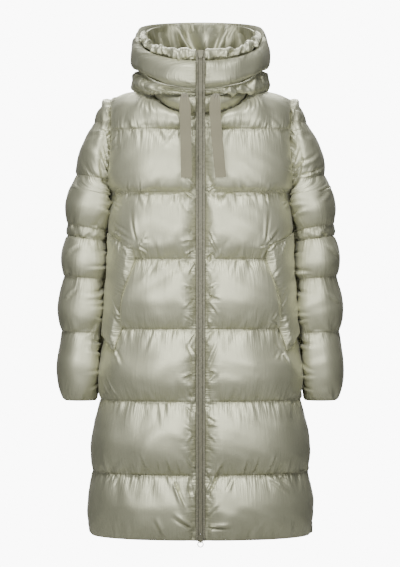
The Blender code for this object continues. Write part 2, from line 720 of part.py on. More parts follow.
def new_quad(shape, a, b, c, d):
    """Split along its shorter diagonal, so that pieces which meet are split alike."""
    if (a.co - c.co).length <= (b.co - d.co).length:
        new_face(shape, (a, b, c))
        new_face(shape, (a, c, d))
    else:
        new_face(shape, (a, b, d))
        new_face(shape, (b, c, d))


def vertices(shape, grid):
    """A vertex for each point of a grid; points that coincide share one."""
    made, known = [], {}
    for row in grid:
        line = []
        for point in row:
            key = tuple(np.round(point, 7))
            if key not in known:
                known[key] = shape.verts.new(point)
            line.append(known[key])
        made.append(line)
    return made


def wall(name, inside, outside, finish):
    """A closed wall between an inside and an outside grid of the same rows and columns."""
    shape = bmesh.new()
    skins = [vertices(shape, inside), vertices(shape, outside)]
    rows, columns = len(inside), len(inside[0])
    for skin in skins:
        for r in range(rows - 1):
            for c in range(columns - 1):
                new_quad(shape, skin[r][c], skin[r][c + 1], skin[r + 1][c + 1], skin[r + 1][c])
    border = [(0, c) for c in range(columns - 1)]
    border += [(r, columns - 1) for r in range(rows - 1)]
    border += [(rows - 1, c) for c in range(columns - 1, 0, -1)]
    border += [(r, 0) for r in range(rows - 1, 0, -1)]
    for (r, c), (r2, c2) in zip(border, border[1:] + border[:1]):
        new_quad(shape, skins[0][r][c], skins[0][r2][c2], skins[1][r2][c2], skins[1][r][c])
    return add_faces(shape, name, finish)


def roll(name, sections, finish):
    """A closed tube through sections of the same number of points, capped at both ends."""
    shape = bmesh.new()
    loops = vertices(shape, sections)
    count = len(loops[0])
    for loop, following in zip(loops, loops[1:]):
        for k in range(count):
            after = (k + 1) % count
            new_quad(shape, loop[k], loop[after], following[after], following[k])
    new_face(shape, loops[0])
    new_face(shape, loops[-1])
    return add_faces(shape, name, finish)


def mirrored(grid):
    return grid * np.array((-1.0, 1.0, 1.0))


def ring_wall(name, inside_rings, outside_rings, finish):
    """A wall round the neck from the zip's one edge to its other, through rings."""

    def row(ring):
        half = [front_ring_angle(ring, column) for column in range(FRONT_NECK_COLUMNS + 1)]
        behind = [90 + 15 * k for k in range(1, 12)]
        angles = half + behind + [360 - angle for angle in reversed(half)]
        return [ring_point(ring, angle) for angle in angles]

    inside = np.array([row(ring) for ring in inside_rings])
    outside = np.array([row(ring) for ring in outside_rings])
    return wall(name, inside, outside, finish)


# --- pieces -----------------------------------------------------------------------------


def make_body():
    front_in, front_out, top_row, bottom_row = front_grids()
    back_in, back_out = back_grids()
    aside = np.array((0.0, GAP / 2, 0.0))
    for grid in (front_in, front_out):
        grid[:, -1] -= aside
        grid[-1, FRONT_NECK_COLUMNS + 1 :] -= aside
    neck_last = len(BACK_COLUMNS) * 2 - 2 - BACK_SHOULDER_COLUMNS
    for grid in (back_in, back_out):
        grid[:, 0] += aside
        grid[:, -1] += aside
        grid[-1, 1:BACK_SHOULDER_COLUMNS] += aside
        grid[-1, neck_last + 1 : -1] += aside
        grid[-1, BACK_SHOULDER_COLUMNS] += aside
        grid[-1, neck_last] += aside
    for grid in (front_in, front_out):
        grid[-1, FRONT_NECK_COLUMNS] -= aside
    wall("front_right", front_in, front_out, shell_cloth)
    wall("front_left", mirrored(front_in), mirrored(front_out), shell_cloth)
    wall("back", back_in, back_out, shell_cloth)
    return front_in, front_out, back_in, back_out, top_row, bottom_row


def make_welts(front_in, front_out, top_row, bottom_row):
    """Each welt lies on the front's own points, bridging the quilting seams beneath it."""
    rows = slice(bottom_row, top_row + 1)
    columns = slice(WELT_INNER_COLUMN, WELT_OUTER_COLUMN + 1)
    inner, outer = front_in[rows, columns], front_out[rows, columns]
    way = outer - inner
    thick = np.linalg.norm(way, axis=2, keepdims=True)
    way = way / thick
    under = outer + way * GAP
    fullest = np.full(thick.shape, CLOTH + WELT_CROWN * front_fullness(WELT_FULLNESS_AT))
    lift = np.maximum(fullest, thick) - thick + WELT_PADDING
    lift[:, 0] = lift[:, -1] = WELT_EDGE_LIFT
    lift[0] = lift[-1] = WELT_EDGE_LIFT
    over = outer + way * (GAP + lift)
    wall("pocket_welt_right", under, over, shell_cloth)
    wall("pocket_welt_left", mirrored(under), mirrored(over), shell_cloth)


def make_sleeves(front_in, front_out, back_in, back_out):
    start = nearest_row(body_rows(), CHEST_SEAM)
    shift = np.array((ARMHOLE_SEAM_GAP, 0.0, 0.0))
    front_edge = front_in[start:, -1] + shift, front_out[start:, -1] + shift
    back_edge = back_in[start:, 0] + shift, back_out[start:, 0] + shift
    inside, outside, rows = sleeve_grids(front_edge, back_edge)
    elbow = nearest_row(rows, ELBOW_SEAM)
    drop = np.array((0.0, 0.0, GAP))
    for side, turn in (("right", lambda grid: grid), ("left", mirrored)):
        wall(f"sleeve_upper_{side}", turn(inside[: elbow + 1]), turn(outside[: elbow + 1]), shell_cloth)
        lower_in, lower_out = inside[elbow:].copy(), outside[elbow:].copy()
        lower_in[0] -= drop
        lower_out[0] -= drop
        wall(f"sleeve_lower_{side}", turn(lower_in), turn(lower_out), shell_cloth)


def lifted(ring):
    """The same ring a seam's gap higher."""
    gap = GAP * 1.4
    heights = ring.front_height + gap, ring.side_height + gap, ring.back_height + gap
    return ring._replace(front_height=heights[0], side_height=heights[1], back_height=heights[2])


def make_hood():
    seam_in, seam_out = lifted(NECK_IN), lifted(NECK_OUT)
    ring_wall("collar", (seam_in,) + COLLAR_IN[1:], (seam_out,) + COLLAR_OUT[1:], shell_cloth)
    ring_wall("hood_shell", SHELL_IN, SHELL_OUT, shell_cloth)
    ring_wall("hood_band", BAND_IN, BAND_OUT, shell_cloth)
    sections = []
    for column in range(FACING_COLUMNS + 1):
        share = column / FACING_COLUMNS
        section = []
        for ring in FACING:
            start = zip_angle(ring)
            section.append(ring_point(ring, start + (FACING_END - start) * share))
        fullness = 1 - FACING_TAPER * ramp(share, FACING_TAPERS_FROM, 1.0)
        root = section[1]
        sections.append([root + (point - root) * fullness for point in section])
    sections = np.array(sections)
    roll("hood_facing_right", sections, shell_cloth)
    roll("hood_facing_left", mirrored(sections), shell_cloth)


def crown_forward(across, along):
    """How far the folded crown stands in from the back of the hood."""
    total = 0.0
    for fold in CROWN_FOLDS:
        total += fold.forward * np.exp(-(((across - fold.middle) / fold.reach) ** 2))
    return total * sin(pi * (0.08 + 0.84 * along)) ** 0.8


def make_crown():
    inside, outside = [], []
    for share in CROWN_ROWS:
        inner_row, outer_row = [], []
        for column in range(CROWN_COLUMNS + 1):
            angle = CROWN_START + (360 - 2 * CROWN_START) * column / CROWN_COLUMNS
            point = mix(ring_point(CROWN_TOP, angle), ring_point(CROWN_FOOT, angle), share)
            inward = unit((-point[0], -point[1], 0.0))
            forward = np.array((0.0, -1.0, 0.0))
            point = point + inward * CROWN_INSET + forward * crown_forward(point[0], share)
            inner_row.append(point)
            outer_row.append(point + inward * CROWN_WALL)
        inside.append(inner_row)
        outside.append(outer_row)
    wall("hood_crown", np.array(inside), np.array(outside), shell_cloth)


def zip_depth(height):
    """Depth of the cloth's face on the centre line, from the hem to the top of the hood."""
    rings = (NECK_OUT, COLLAR_OUT[3], SHELL_OUT[3], BAND_OUT[4], FACING[3])
    if height < YOKE_SEAM:
        return -(read(BODY, "front", height) + CLOTH)
    Depth = namedtuple("Depth", "height depth")
    rows = [Depth(YOKE_SEAM, read(BODY, "front", YOKE_SEAM) + CLOTH)]
    rows += [Depth(ring.front_height, ring.front) for ring in rings]
    return -read(rows, "depth", height)


def strip(name, heights, left, right, back, front, finish):
    """A straight strip up the centre front, by its sides and its depth from the cloth."""
    inside, outside = [], []
    for height in heights:
        depth = zip_depth(height)
        inside.append([(left, depth - back, height), (right, depth - back, height)])
        outside.append([(left, depth - front, height), (right, depth - front, height)])
    return wall(name, np.array(inside), np.array(outside), finish)


def make_zip():
    heights = body_rows()
    heights = heights[::2] if len(heights) % 2 else heights[::2] + [heights[-1]]
    heights += [NECK_OUT.front_height, COLLAR_OUT[3].front_height, SHELL_OUT[3].front_height]
    heights += [0.020, 0.040, BAND_OUT[4].front_height, FACING[3].front_height, ZIP_TOP]
    heights = sorted(set(round(height, 5) for height in heights))
    edge = ZIP_EDGE - GAP
    strip("zip_tape_right", heights, GAP / 2, edge, -ZIP_TAPE, 0.0, tape_cloth)
    strip("zip_tape_left", heights, -edge, -GAP / 2, -ZIP_TAPE, 0.0, tape_cloth)
    chain_top = ZIP_TOP - SLIDER_LENGTH - GAP
    chain = [height for height in heights if CHAIN_BOTTOM < height < chain_top]
    chain = [CHAIN_BOTTOM] + chain + [chain_top]
    strip("zip_chain", chain, -CHAIN_HALF_WIDTH, CHAIN_HALF_WIDTH, GAP, CHAIN_THICKNESS, chain_metal)
    make_slider("zip_slider_top", ZIP_TOP - SLIDER_LENGTH, 1)
    bottom_slider, front = make_slider("zip_slider_bottom", BOTTOM_SLIDER, -1)
    join_bridge(bottom_slider, front)
    make_ring_pull(front)


def make_slider(name, bottom, pointing):
    """A shield-shaped zip slider, narrower towards the closed chain."""
    face = min(zip_depth(bottom + k * SLIDER_LENGTH / 4) for k in range(-2, 6)) - GAP
    shape = bmesh.new()
    outline = ((-0.5, 0.0), (-0.5, 0.62), (-0.32, 1.0), (0.32, 1.0), (0.5, 0.62), (0.5, 0.0))
    layers = []
    for depth in (face, face - SLIDER_THICKNESS):
        layer = []
        for x, z in outline:
            z = z if pointing < 0 else 1 - z
            layer.append(shape.verts.new((x * SLIDER_WIDTH, depth, bottom + z * SLIDER_LENGTH)))
        layers.append(layer)
    shape.faces.new(layers[0])
    shape.faces.new(layers[1])
    count = len(outline)
    for k in range(count):
        a, b = k, (k + 1) % count
        shape.faces.new((layers[0][a], layers[0][b], layers[1][b], layers[1][a]))
    return add_faces(shape, name, pull_metal), face - SLIDER_THICKNESS


def join_bridge(slider, front):
    """The staple on the slider's front that holds the ring: an arch over the ring's wire."""
    hole = RING_WIRE / 2 + RING_CLEARANCE
    root = front + SLIDER_THICKNESS / 2
    arch = front - 2 * hole
    low, high = RING_AXIS - hole, RING_AXIS + hole
    outline = (
        (root, low - BRIDGE_WALL),
        (arch - BRIDGE_WALL, low - BRIDGE_WALL),
        (arch - BRIDGE_WALL, high + BRIDGE_WALL),
        (root, high + BRIDGE_WALL),
        (root, high),
        (arch, high),
        (arch, low),
        (root, low),
    )
    shape = bmesh.new()
    side = shape.faces.new([shape.verts.new((-BRIDGE_WIDTH / 2, y, z)) for y, z in outline])
    swept = bmesh.ops.extrude_face_region(shape, geom=[side])["geom"]
    corners = [item for item in swept if isinstance(item, bmesh.types.BMVert)]
    bmesh.ops.translate(shape, verts=corners, vec=(BRIDGE_WIDTH, 0.0, 0.0))
    bridge = add_faces(shape, "bridge_guide", pull_metal)
    coat.objects.unlink(bridge)
    guides.objects.link(bridge)
    bridge.hide_render = True
    bridge.display_type = "WIRE"
    union = slider.modifiers.new("bridge", "BOOLEAN")
    union.operation = "UNION"
    union.object = bridge


def make_ring_pull(front):
    """A round wire ring through the bottom slider's bridge, hanging on it."""
    axis = Vector((0.0, front - RING_CLEARANCE - RING_WIRE / 2, RING_AXIS))
    points = []
    for k in range(24):
        turn = 2 * pi * k / 24
        points.append((RING_RADIUS * sin(turn), 0.0, RING_RADIUS * (cos(turn) - 1)))
    line = bpy.data.curves.new("zip_pull_ring", "CURVE")
    line.dimensions = "3D"
    spline = line.splines.new("POLY")
    spline.points.add(len(points) - 1)
    for target, point in zip(spline.points, points):
        target.co = (*point, 1.0)
    spline.use_cyclic_u = True
    line.bevel_depth = RING_WIRE / 2
    line.bevel_resolution = 2
    ring = bpy.data.objects.new("zip_pull_ring", line)
    ring.location = axis
    line.materials.append(pull_metal)
    coat.objects.link(ring)


def make_ribbon(name, rows):
    """A flat woven ribbon end, gathered where it leaves the casing, cut square below."""
    inside, outside = [], []
    for row in rows:
        for grid, depth in ((inside, 0.0), (outside, -RIBBON_THICKNESS)):
            y = row.depth + depth
            left, right = row.across - row.width / 2, row.across + row.width / 2
            middle = (row.across, y - RIBBON_BOW, row.height)
            grid.append([(left, y, row.height), middle, (right, y, row.height)])
    wall(name, np.array(inside), np.array(outside), ribbon_cloth)


# --- build ------------------------------------------------------------------------------

for old in list(bpy.data.objects):
    bpy.data.objects.remove(old)

coat = bpy.data.collections.new(COLLECTION)
guides = bpy.data.collections.new("guides")
for collection in (coat, guides):
    bpy.context.scene.collection.children.link(collection)

shell_cloth = material("shell_cloth", (0.52, 0.52, 0.44), 0.38)
tape_cloth = material("tape_cloth", (0.36, 0.35, 0.28), 0.7)
ribbon_cloth = material("ribbon_cloth", (0.38, 0.36, 0.29), 0.8)
chain_metal = material("chain", (0.42, 0.41, 0.34), 0.5)
pull_metal = material("pull_metal", (0.62, 0.58, 0.48), 0.3, 1.0)

front_in, front_out, back_in, back_out, top_row, bottom_row = make_body()
make_welts(front_in, front_out, top_row, bottom_row)
make_sleeves(front_in, front_out, back_in, back_out)
make_hood()
make_crown()
make_zip()
make_ribbon("drawstring_left", RIBBON_LEFT)
make_ribbon("drawstring_right", RIBBON_RIGHT)
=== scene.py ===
# %% [markdown]
# # A long puffer coat with a padded hood
# The coat is cut from a thin satin nylon, sewn into channels that are filled with down. It is
# zipped up and keeps the shape of a body with nobody in it. This lesson dresses the packed
# solids: each sewn piece gets its own fine mesh, with the swelling, pleats and drag lines that
# stitching draws into a padded cloth.

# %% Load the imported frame
from collections import namedtuple
from math import atan2, cos, degrees, exp, log1p, pi, radians, sin

import bmesh
import bpy
import numpy as np
from mathutils import Matrix, Vector


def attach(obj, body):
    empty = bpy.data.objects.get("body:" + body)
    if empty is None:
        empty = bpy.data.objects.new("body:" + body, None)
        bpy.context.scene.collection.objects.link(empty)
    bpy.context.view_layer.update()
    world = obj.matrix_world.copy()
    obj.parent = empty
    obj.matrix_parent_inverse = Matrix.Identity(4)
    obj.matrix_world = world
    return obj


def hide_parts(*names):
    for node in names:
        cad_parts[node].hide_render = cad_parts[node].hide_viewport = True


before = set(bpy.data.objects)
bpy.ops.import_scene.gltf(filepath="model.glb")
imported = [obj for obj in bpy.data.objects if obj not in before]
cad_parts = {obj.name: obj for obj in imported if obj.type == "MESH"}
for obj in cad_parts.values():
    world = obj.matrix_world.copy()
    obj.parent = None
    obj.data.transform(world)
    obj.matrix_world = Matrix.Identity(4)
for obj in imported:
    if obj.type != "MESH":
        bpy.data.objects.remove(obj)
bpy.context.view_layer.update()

# %% [markdown]
# ## The camera
# The coat is looked at straight from the front, from far away, so that its sides stay upright.
# A long lens from five metres does that.

# %% Camera
VIEW_DISTANCE = 5.0
VIEW_HEIGHT = 1.1907  # what the tall side of the picture takes in at the coat
LOOK_AT = Vector((-0.001, 0.0, -0.3958))

camera_data = bpy.data.cameras.new("camera")
camera_data.sensor_width = 36.0
camera_data.lens = camera_data.sensor_width * VIEW_DISTANCE / VIEW_HEIGHT
camera = bpy.data.objects.new("camera", camera_data)
camera.location = LOOK_AT + Vector((0.0, -VIEW_DISTANCE, 0.0))
camera.rotation_euler = (radians(90), 0.0, 0.0)
bpy.context.scene.collection.objects.link(camera)
bpy.context.scene.camera = camera
print("lens", round(camera_data.lens, 1), "mm")

# %% [markdown]
# ## The room
# A wide light high above and in front makes each channel bright on top and dark underneath.
# Two small, weak lights stand close in front of the chest, one on either side. They put the
# soft satin shine on the upper channels and fade towards the hem. A fourth light, high behind,
# reaches the back. The floor is pale and plain, as far below the hem as the ground would be.

# %% Floor, lights and room
FLOOR = -1.42
FLOOR_RADIUS = 2.2


def add_object(name, data):
    made = bpy.data.objects.new(name, data)
    bpy.context.scene.collection.objects.link(made)
    return made


def add_light(name, place, target, size, watts):
    """A soft rectangular light that points at a place on the coat."""
    data = bpy.data.lights.new(name, "AREA")
    data.shape = "RECTANGLE"
    data.size, data.size_y = size
    data.energy = watts
    light = add_object(name, data)
    light.location = place
    light.rotation_euler = (Vector(target) - Vector(place)).to_track_quat("-Z", "Y").to_euler()


floor_shape = bmesh.new()
bmesh.ops.create_circle(floor_shape, cap_ends=True, radius=FLOOR_RADIUS, segments=96)
floor_mesh = bpy.data.meshes.new("floor")
floor_shape.to_mesh(floor_mesh)
floor_shape.free()
floor_mesh.transform(Matrix.Translation((0.0, 0.0, FLOOR)))
floor = add_object("floor", floor_mesh)

add_light("sky_light", (-0.15, -1.7, 2.2), (0.0, 0.0, -0.5), (1.2, 0.5), 86)
add_light("left_light", (-0.42, -1.05, -0.18), (-0.1, 0.0, -0.33), (0.4, 0.4), 8.0)
add_light("right_light", (0.36, -1.05, -0.18), (0.1, 0.0, -0.33), (0.4, 0.4), 6.6)
add_light("back_light", (0.0, 1.9, 2.0), (0.0, 0.0, -0.4), (1.8, 1.0), 90)

ROOM_LIGHT, ROOM_WHITE = 0.02, 12.0
world = bpy.data.worlds.new("room")
bpy.context.scene.world = world
world.use_nodes = True
room = world.node_tree
room.nodes["Background"].inputs["Color"].default_value = (1.0, 1.0, 0.995, 1.0)
room.nodes["Background"].inputs["Strength"].default_value = ROOM_LIGHT
backdrop = room.nodes.new("ShaderNodeBackground")
backdrop.inputs["Strength"].default_value = ROOM_WHITE
either = room.nodes.new("ShaderNodeMixShader")
seen = room.nodes.new("ShaderNodeLightPath")
room.links.new(seen.outputs["Is Camera Ray"], either.inputs[0])
room.links.new(room.nodes["Background"].outputs[0], either.inputs[1])
room.links.new(backdrop.outputs[0], either.inputs[2])
room.links.new(either.outputs[0], room.nodes["World Output"].inputs["Surface"])
print("lights:", [thing.name for thing in bpy.data.objects if thing.type == "LIGHT"])

# %% [markdown]
# ## Arithmetic on shader values
# A material is a graph of nodes. Written out node by node it is long, so one small class wraps
# a socket: an expression such as `mask * 0.3 + 0.1` adds its Math nodes by itself.


# %% A shader value that Python can reckon with
class Shade:
    """A socket of one node tree, with the usual operators."""

    def __init__(self, tree, socket=None):
        self.tree, self.socket = tree, socket

    def node(self, kind, settings=(), values=(), output=0):
        """Adds any node: its settings first, then the values or links of its sockets."""
        made = self.tree.nodes.new(kind)
        for name, setting in dict(settings).items():
            setattr(made, name, setting)
        for name, value in dict(values).items():
            if isinstance(value, Shade):
                self.tree.links.new(value.socket, made.inputs[name])
            else:
                made.inputs[name].default_value = value
        return Shade(self.tree, made.outputs[output])

    def math(self, operation, *values):
        return self.node("ShaderNodeMath", {"operation": operation}, dict(enumerate(values)))

    def __add__(self, other):
        return self.math("ADD", self, other)

    def __sub__(self, other):
        return self.math("SUBTRACT", self, other)

    def __mul__(self, other):
        return self.math("MULTIPLY", self, other)

    def blend(self, first, second):
        """One colour or another, by this value from 0 to 1."""
        settings = {"data_type": "RGBA", "clamp_factor": True}
        return self.node("ShaderNodeMix", settings, {0: self, 6: first, 7: second}, 2)


def new_material(name, **constants):
    """A Principled material, its sockets, and the place on the object to start from."""
    made = bpy.data.materials.new(name)
    made.use_nodes = True
    sockets = made.node_tree.nodes["Principled BSDF"].inputs
    for socket, value in constants.items():
        sockets[socket.replace("_", " ")].default_value = value
    return made, sockets, Shade(made.node_tree).node("ShaderNodeTexCoord", output=3)


def part_of(vector, axis):
    return vector.node("ShaderNodeSeparateXYZ", (), {0: vector}, axis)


def noise(place, scale, detail=2.0, distortion=0.0):
    values = {"Vector": place, "Scale": scale, "Detail": detail, "Distortion": distortion}
    return place.node("ShaderNodeTexNoise", (), values)


def stripes(place, pitch):
    return place.math("SINE", place * (2 * pi / pitch))


def feed(sockets, **values):
    for name, value in values.items():
        value.tree.links.new(value.socket, sockets[name.replace("_", " ")])


def bump(height, strength):
    values = {"Strength": strength, "Distance": 1.0, "Height": height}
    return height.node("ShaderNodeBump", (), values)


# %% [markdown]
# ## The cloths and metals
# The shell is a thin satin-faced nylon, downproofed, so it shines broadly and softly and its
# colour goes from greige to sage with the light. Its weave is far finer than a millimetre.
# Beside a seam the colour is painted deeper, as painted shade in the stitched crease, and the
# cloth puckers finely, square to the stitching. So every sewn mesh carries a `sewn` attribute
# of three numbers from 0 to 1: how near the stitching is, which sets that painted seam shade,
# and how strongly the cloth puckers off level seams and off upright ones. The first number is
# raised further as painted shade on the elbow band, the ruched roll and the hood's crown. The
# tape is a plain matt weave, with painted shade along a groove beside the chain and where the
# cloth's edge lies over it, and the drawstring a ribbed ribbon. The zip's sliders are lacquered
# in the coat's colour, and the ring has a pale brushed plating.

# %% Satin nylon
WEAVE_PITCH = 0.0007
PUCKER_PITCH, PUCKER_LENGTH, PUCKER_DEPTH = 0.0078, 0.080, 0.0066
# The deep satin is the far end of the cloth's cloudy tone and, mostly, painted shade near seams and
# in hollows.
PALE_SATIN, DEEP_AND_SHADED_SATIN = (0.53, 0.532, 0.385, 1.0), (0.285, 0.283, 0.178, 1.0)
shell_cloth, sockets, place = new_material(
    "satin_nylon",
    Metallic=0.8,
    Sheen_Weight=0.15,
    Sheen_Roughness=0.45,
    Sheen_Tint=(0.93, 0.93, 0.86, 1.0),
    Coat_Roughness=0.42,
    Coat_IOR=1.45,
    IOR=1.5,
)
cloth_place = place.node("ShaderNodeUVMap", {"uv_map": "cloth"})
sewn = place.node("ShaderNodeAttribute", {"attribute_name": "sewn"}, output=1)
seam, off_level, off_upright = (part_of(sewn, axis) for axis in range(3))
cloudy, crinkle = noise(place, 9.0), noise(place, 95.0, 3.0, 0.6)
warp, weft = (stripes(part_of(cloth_place, axis), WEAVE_PITCH) for axis in (0, 1))
stretched = (1 / PUCKER_PITCH, 1 / PUCKER_LENGTH)
puckers = []
for near, scale in ((off_level, stretched), (off_upright, stretched[::-1])):
    spread = place.node("ShaderNodeMapping", (), {"Vector": cloth_place, "Scale": scale + (1.0,)})
    puckers.append(place.math("ABSOLUTE", noise(spread, 1.0, 2.0, 0.2) - 0.5) * near)
# The cloth's cloudy tone, plus painted shade near the seams from the sewn attribute.
tone_and_seam_shade = cloudy * 0.5 + crinkle * 0.18 - 0.34 + seam * 0.6
tone_and_seam_shade = tone_and_seam_shade.math("MINIMUM", tone_and_seam_shade.math("MAXIMUM", tone_and_seam_shade, 0.0), 1.0)
relief = crinkle * 0.0003 + warp * weft * 0.00001 + (puckers[0] + puckers[1]) * PUCKER_DEPTH
feed(
    sockets,
    Base_Color=tone_and_seam_shade.blend(PALE_SATIN, DEEP_AND_SHADED_SATIN),
    Roughness=cloudy * 0.1 + 0.47 + crinkle * 0.06 + seam * 0.06,
    Normal=bump(relief, 0.75),
    Coat_Weight=cloudy * 0.06,
)
print("satin nylon has", len(shell_cloth.node_tree.nodes), "nodes")

# %% Zip tape
TAPE_RIB, TAPE_GRAIN = 0.0011, 0.001
# Painted shade lines lie along the groove beside the chain and on the tape beyond its edge.
TAPE_GROOVE, TAPE_EDGE = 0.0042, 0.0088  # from the zip's middle
tape_cloth, sockets, place = new_material("woven_tape", Sheen_Weight=0.15, Sheen_Roughness=0.6)
aside, level = part_of(place, 0), part_of(place, 2)
ribs = place.math("SINE", level * (2 * pi / TAPE_RIB) + stripes(aside, TAPE_GRAIN) * 0.8)
fluff = noise(place, 260.0, 3.0)
off_middle = place.math("ABSOLUTE", aside)
off_groove = place.math("ABSOLUTE", off_middle - TAPE_GROOVE)
groove_shade = place.math("SMOOTH_MIN", off_groove, 0.001, 0.0002)
edge_shade = place.math("GREATER_THAN", off_middle, TAPE_EDGE)
# Weave and fluff, plus painted shade: the groove and the edge under the cloth are painted darker.
weave_and_shade = fluff * 1.1 + ribs * 0.3 + groove_shade * 760.0 - 0.78 - edge_shade * 0.45
feed(
    sockets,
    Base_Color=weave_and_shade.math("MAXIMUM", weave_and_shade, 0.0).blend(
        (0.055, 0.052, 0.032, 1.0), (0.27, 0.262, 0.182, 1.0)
    ),
    Roughness=fluff * 0.18 + 0.62,
    Normal=bump(ribs * 0.00009 + fluff * 0.0001, 0.8),
)

# %% Ribbed ribbon of the drawstring
RIBBON_RIB = 0.0017
ribbon_cloth, sockets, place = new_material("ribbed_ribbon", Sheen_Weight=0.3, Sheen_Roughness=0.7)
ribs = stripes(part_of(place, 2), RIBBON_RIB)
fluff, cloudy = noise(place, 420.0), noise(place, 30.0)
feed(
    sockets,
    Base_Color=(fluff * 0.5 + ribs * 0.12 + cloudy * 0.3).blend(
        (0.147, 0.136, 0.079, 1.0), (0.201, 0.189, 0.115, 1.0)
    ),
    Roughness=fluff * 0.15 + 0.74,
    Normal=bump(ribs * 0.00012 + fluff * 0.00008, 0.9),
)


# %% Thread, moulded teeth, metals and floor
def worn_material(name, scale, detail, colours, roughness, **constants):
    """A finish that only changes between two colours and two roughnesses, in patches."""
    made, sockets, place = new_material(name, **constants)
    worn = noise(place, scale, detail)
    first, second = (colour + (1.0,) for colour in colours)
    feed(sockets, Base_Color=worn.blend(first, second))
    if roughness:
        feed(sockets, Roughness=worn * roughness[1] + roughness[0])
    return made, sockets, place, worn


thread_cloth = worn_material(
    "sewing_thread", 700.0, 2.0, ((0.30, 0.285, 0.21), (0.47, 0.455, 0.36)), (0.5, 0.2),
    Sheen_Weight=0.2,
)[0]
teeth_finish = worn_material(
    "moulded_teeth", 180.0, 3.0, ((0.17, 0.162, 0.112), (0.27, 0.26, 0.19)), (0.34, 0.2), IOR=1.5
)[0]
slider_lacquer = worn_material(
    "lacquered_metal", 420.0, 3.0, ((0.15, 0.145, 0.10), (0.34, 0.33, 0.24)), (0.3, 0.25),
    Metallic=0.6,
)[0]
floor_paint = worn_material(
    "pale_floor", 1.5, 2.0, ((0.40, 0.40, 0.385), (0.45, 0.45, 0.435)), None, Roughness=0.8
)[0]
pull_metal, sockets, place, worn = worn_material(
    "plated_metal", 320.0, 4.0, ((0.30, 0.285, 0.235), (0.47, 0.45, 0.38)), None, Metallic=1.0
)
brushed = place.node("ShaderNodeMapping", (), {"Vector": place, "Scale": (1200.0, 1200.0, 130.0)})
grain = noise(brushed, 1.0)
feed(sockets, Roughness=grain * 0.16 + 0.28 + worn * 0.1, Normal=bump(grain * 0.00002, 0.5))
floor.data.materials.append(floor_paint)
print("materials:", sorted(item.name for item in bpy.data.materials if item.use_nodes))

# %% [markdown]
# ## The coat's measures
# The solids were drawn from short tables. A fine mesh that fits them starts from the same
# tables, in metres: the plain inside of the body and sleeves at each height, the quilting
# seams, and the rings of the collar and hood.

# %% Tables of the body
GAP = 0.0003
CLOTH = 0.005
HEM, CHEST_SEAM, YOKE_SEAM = -0.920, -0.2085, -0.0785
Channel = namedtuple("Channel", "bottom top crown")
BODY_CHANNELS = (
    Channel(HEM, -0.787, 0.02),
    Channel(-0.787, -0.637, 0.025),
    Channel(-0.637, -0.489, 0.025),
    Channel(-0.489, -0.345, 0.024),
    Channel(-0.345, CHEST_SEAM, 0.023),
    Channel(CHEST_SEAM, YOKE_SEAM, 0.021),
)
YOKE_CROWN = 0.020
CHANNEL_STEPS = (0.0, 0.10, 0.24, 0.50, 0.76, 0.90)
YOKE_STEPS = (0.0, 0.15, 0.40, 0.70, 0.90, 1.0)
Section = namedtuple("Section", "height half_width front back square")
BODY = (
    Section(HEM, 0.226, 0.15, 0.138, 2.3),
    Section(-0.85, 0.226, 0.149, 0.137, 2.3),
    Section(-0.787, 0.221, 0.147, 0.135, 2.3),
    Section(-0.637, 0.205, 0.141, 0.13, 2.4),
    Section(-0.489, 0.188, 0.134, 0.124, 2.5),
    Section(-0.345, 0.179, 0.129, 0.118, 2.6),
    Section(-0.27, 0.177, 0.128, 0.116, 2.8),
    Section(CHEST_SEAM, 0.18, 0.128, 0.115, 3.1),
    Section(-0.19, 0.186, 0.128, 0.115, 3.2),
    Section(-0.15, 0.191, 0.128, 0.114, 3.3),
    Section(YOKE_SEAM, 0.191, 0.127, 0.112, 3.3),
)
Armhole = namedtuple("Armhole", "height front back")
ARMHOLE = (
    Armhole(CHEST_SEAM, 0, 0),
    Armhole(-0.1955, 0.042, 0.044),
    Armhole(-0.1773, 0.058, 0.062),
    Armhole(-0.1435, 0.067, 0.073),
    Armhole(-0.1097, 0.068, 0.075),
    Armhole(-0.0915, 0.067, 0.073),
    Armhole(YOKE_SEAM, 0.064, 0.068),
)
ARMHOLE_MIDDLE, ARMHOLE_HALF_HEIGHT, ARMHOLE_HALF_DEPTH, ARMHOLE_LEAN = -0.110, 0.098, 0.070, 0.35
SHOULDER_POINT = (0.187, 0.0, -0.010)
NECK_POINT_ANGLE = 90.0
FRONT_COLUMNS = (0.0, 0.05, 0.15, 0.27, 0.40, None, None, None, None, 0.93, 1.0)
WELT_INNER_COLUMN, WELT_OUTER_COLUMN, FRONT_NECK_COLUMNS = 5, 8, 7
Welt = namedtuple("Welt", "height inner outer")
WELT_EDGES = (
    Welt(HEM, 0.56, 0.84),
    Welt(-0.64, 0.64, 0.855),
    Welt(-0.533, 0.67, 0.865),
    Welt(-0.435, 0.61, 0.85),
    Welt(-0.317, 0.54, 0.83),
    Welt(-0.2, 0.54, 0.83),
    Welt(YOKE_SEAM, 0.56, 0.84),
)
WELT_TOP, WELT_BOTTOM, WELT_SLOPE = -0.317, -0.533, 0.026
BACK_COLUMNS = (0.0, 0.035, 0.09, 0.16, 0.22, 0.28, 0.34, 0.395, 0.45, 0.5)
BACK_SHOULDER_COLUMNS = 3
ZIP_EDGE = 0.0100
ZIP_TOP = 0.0800

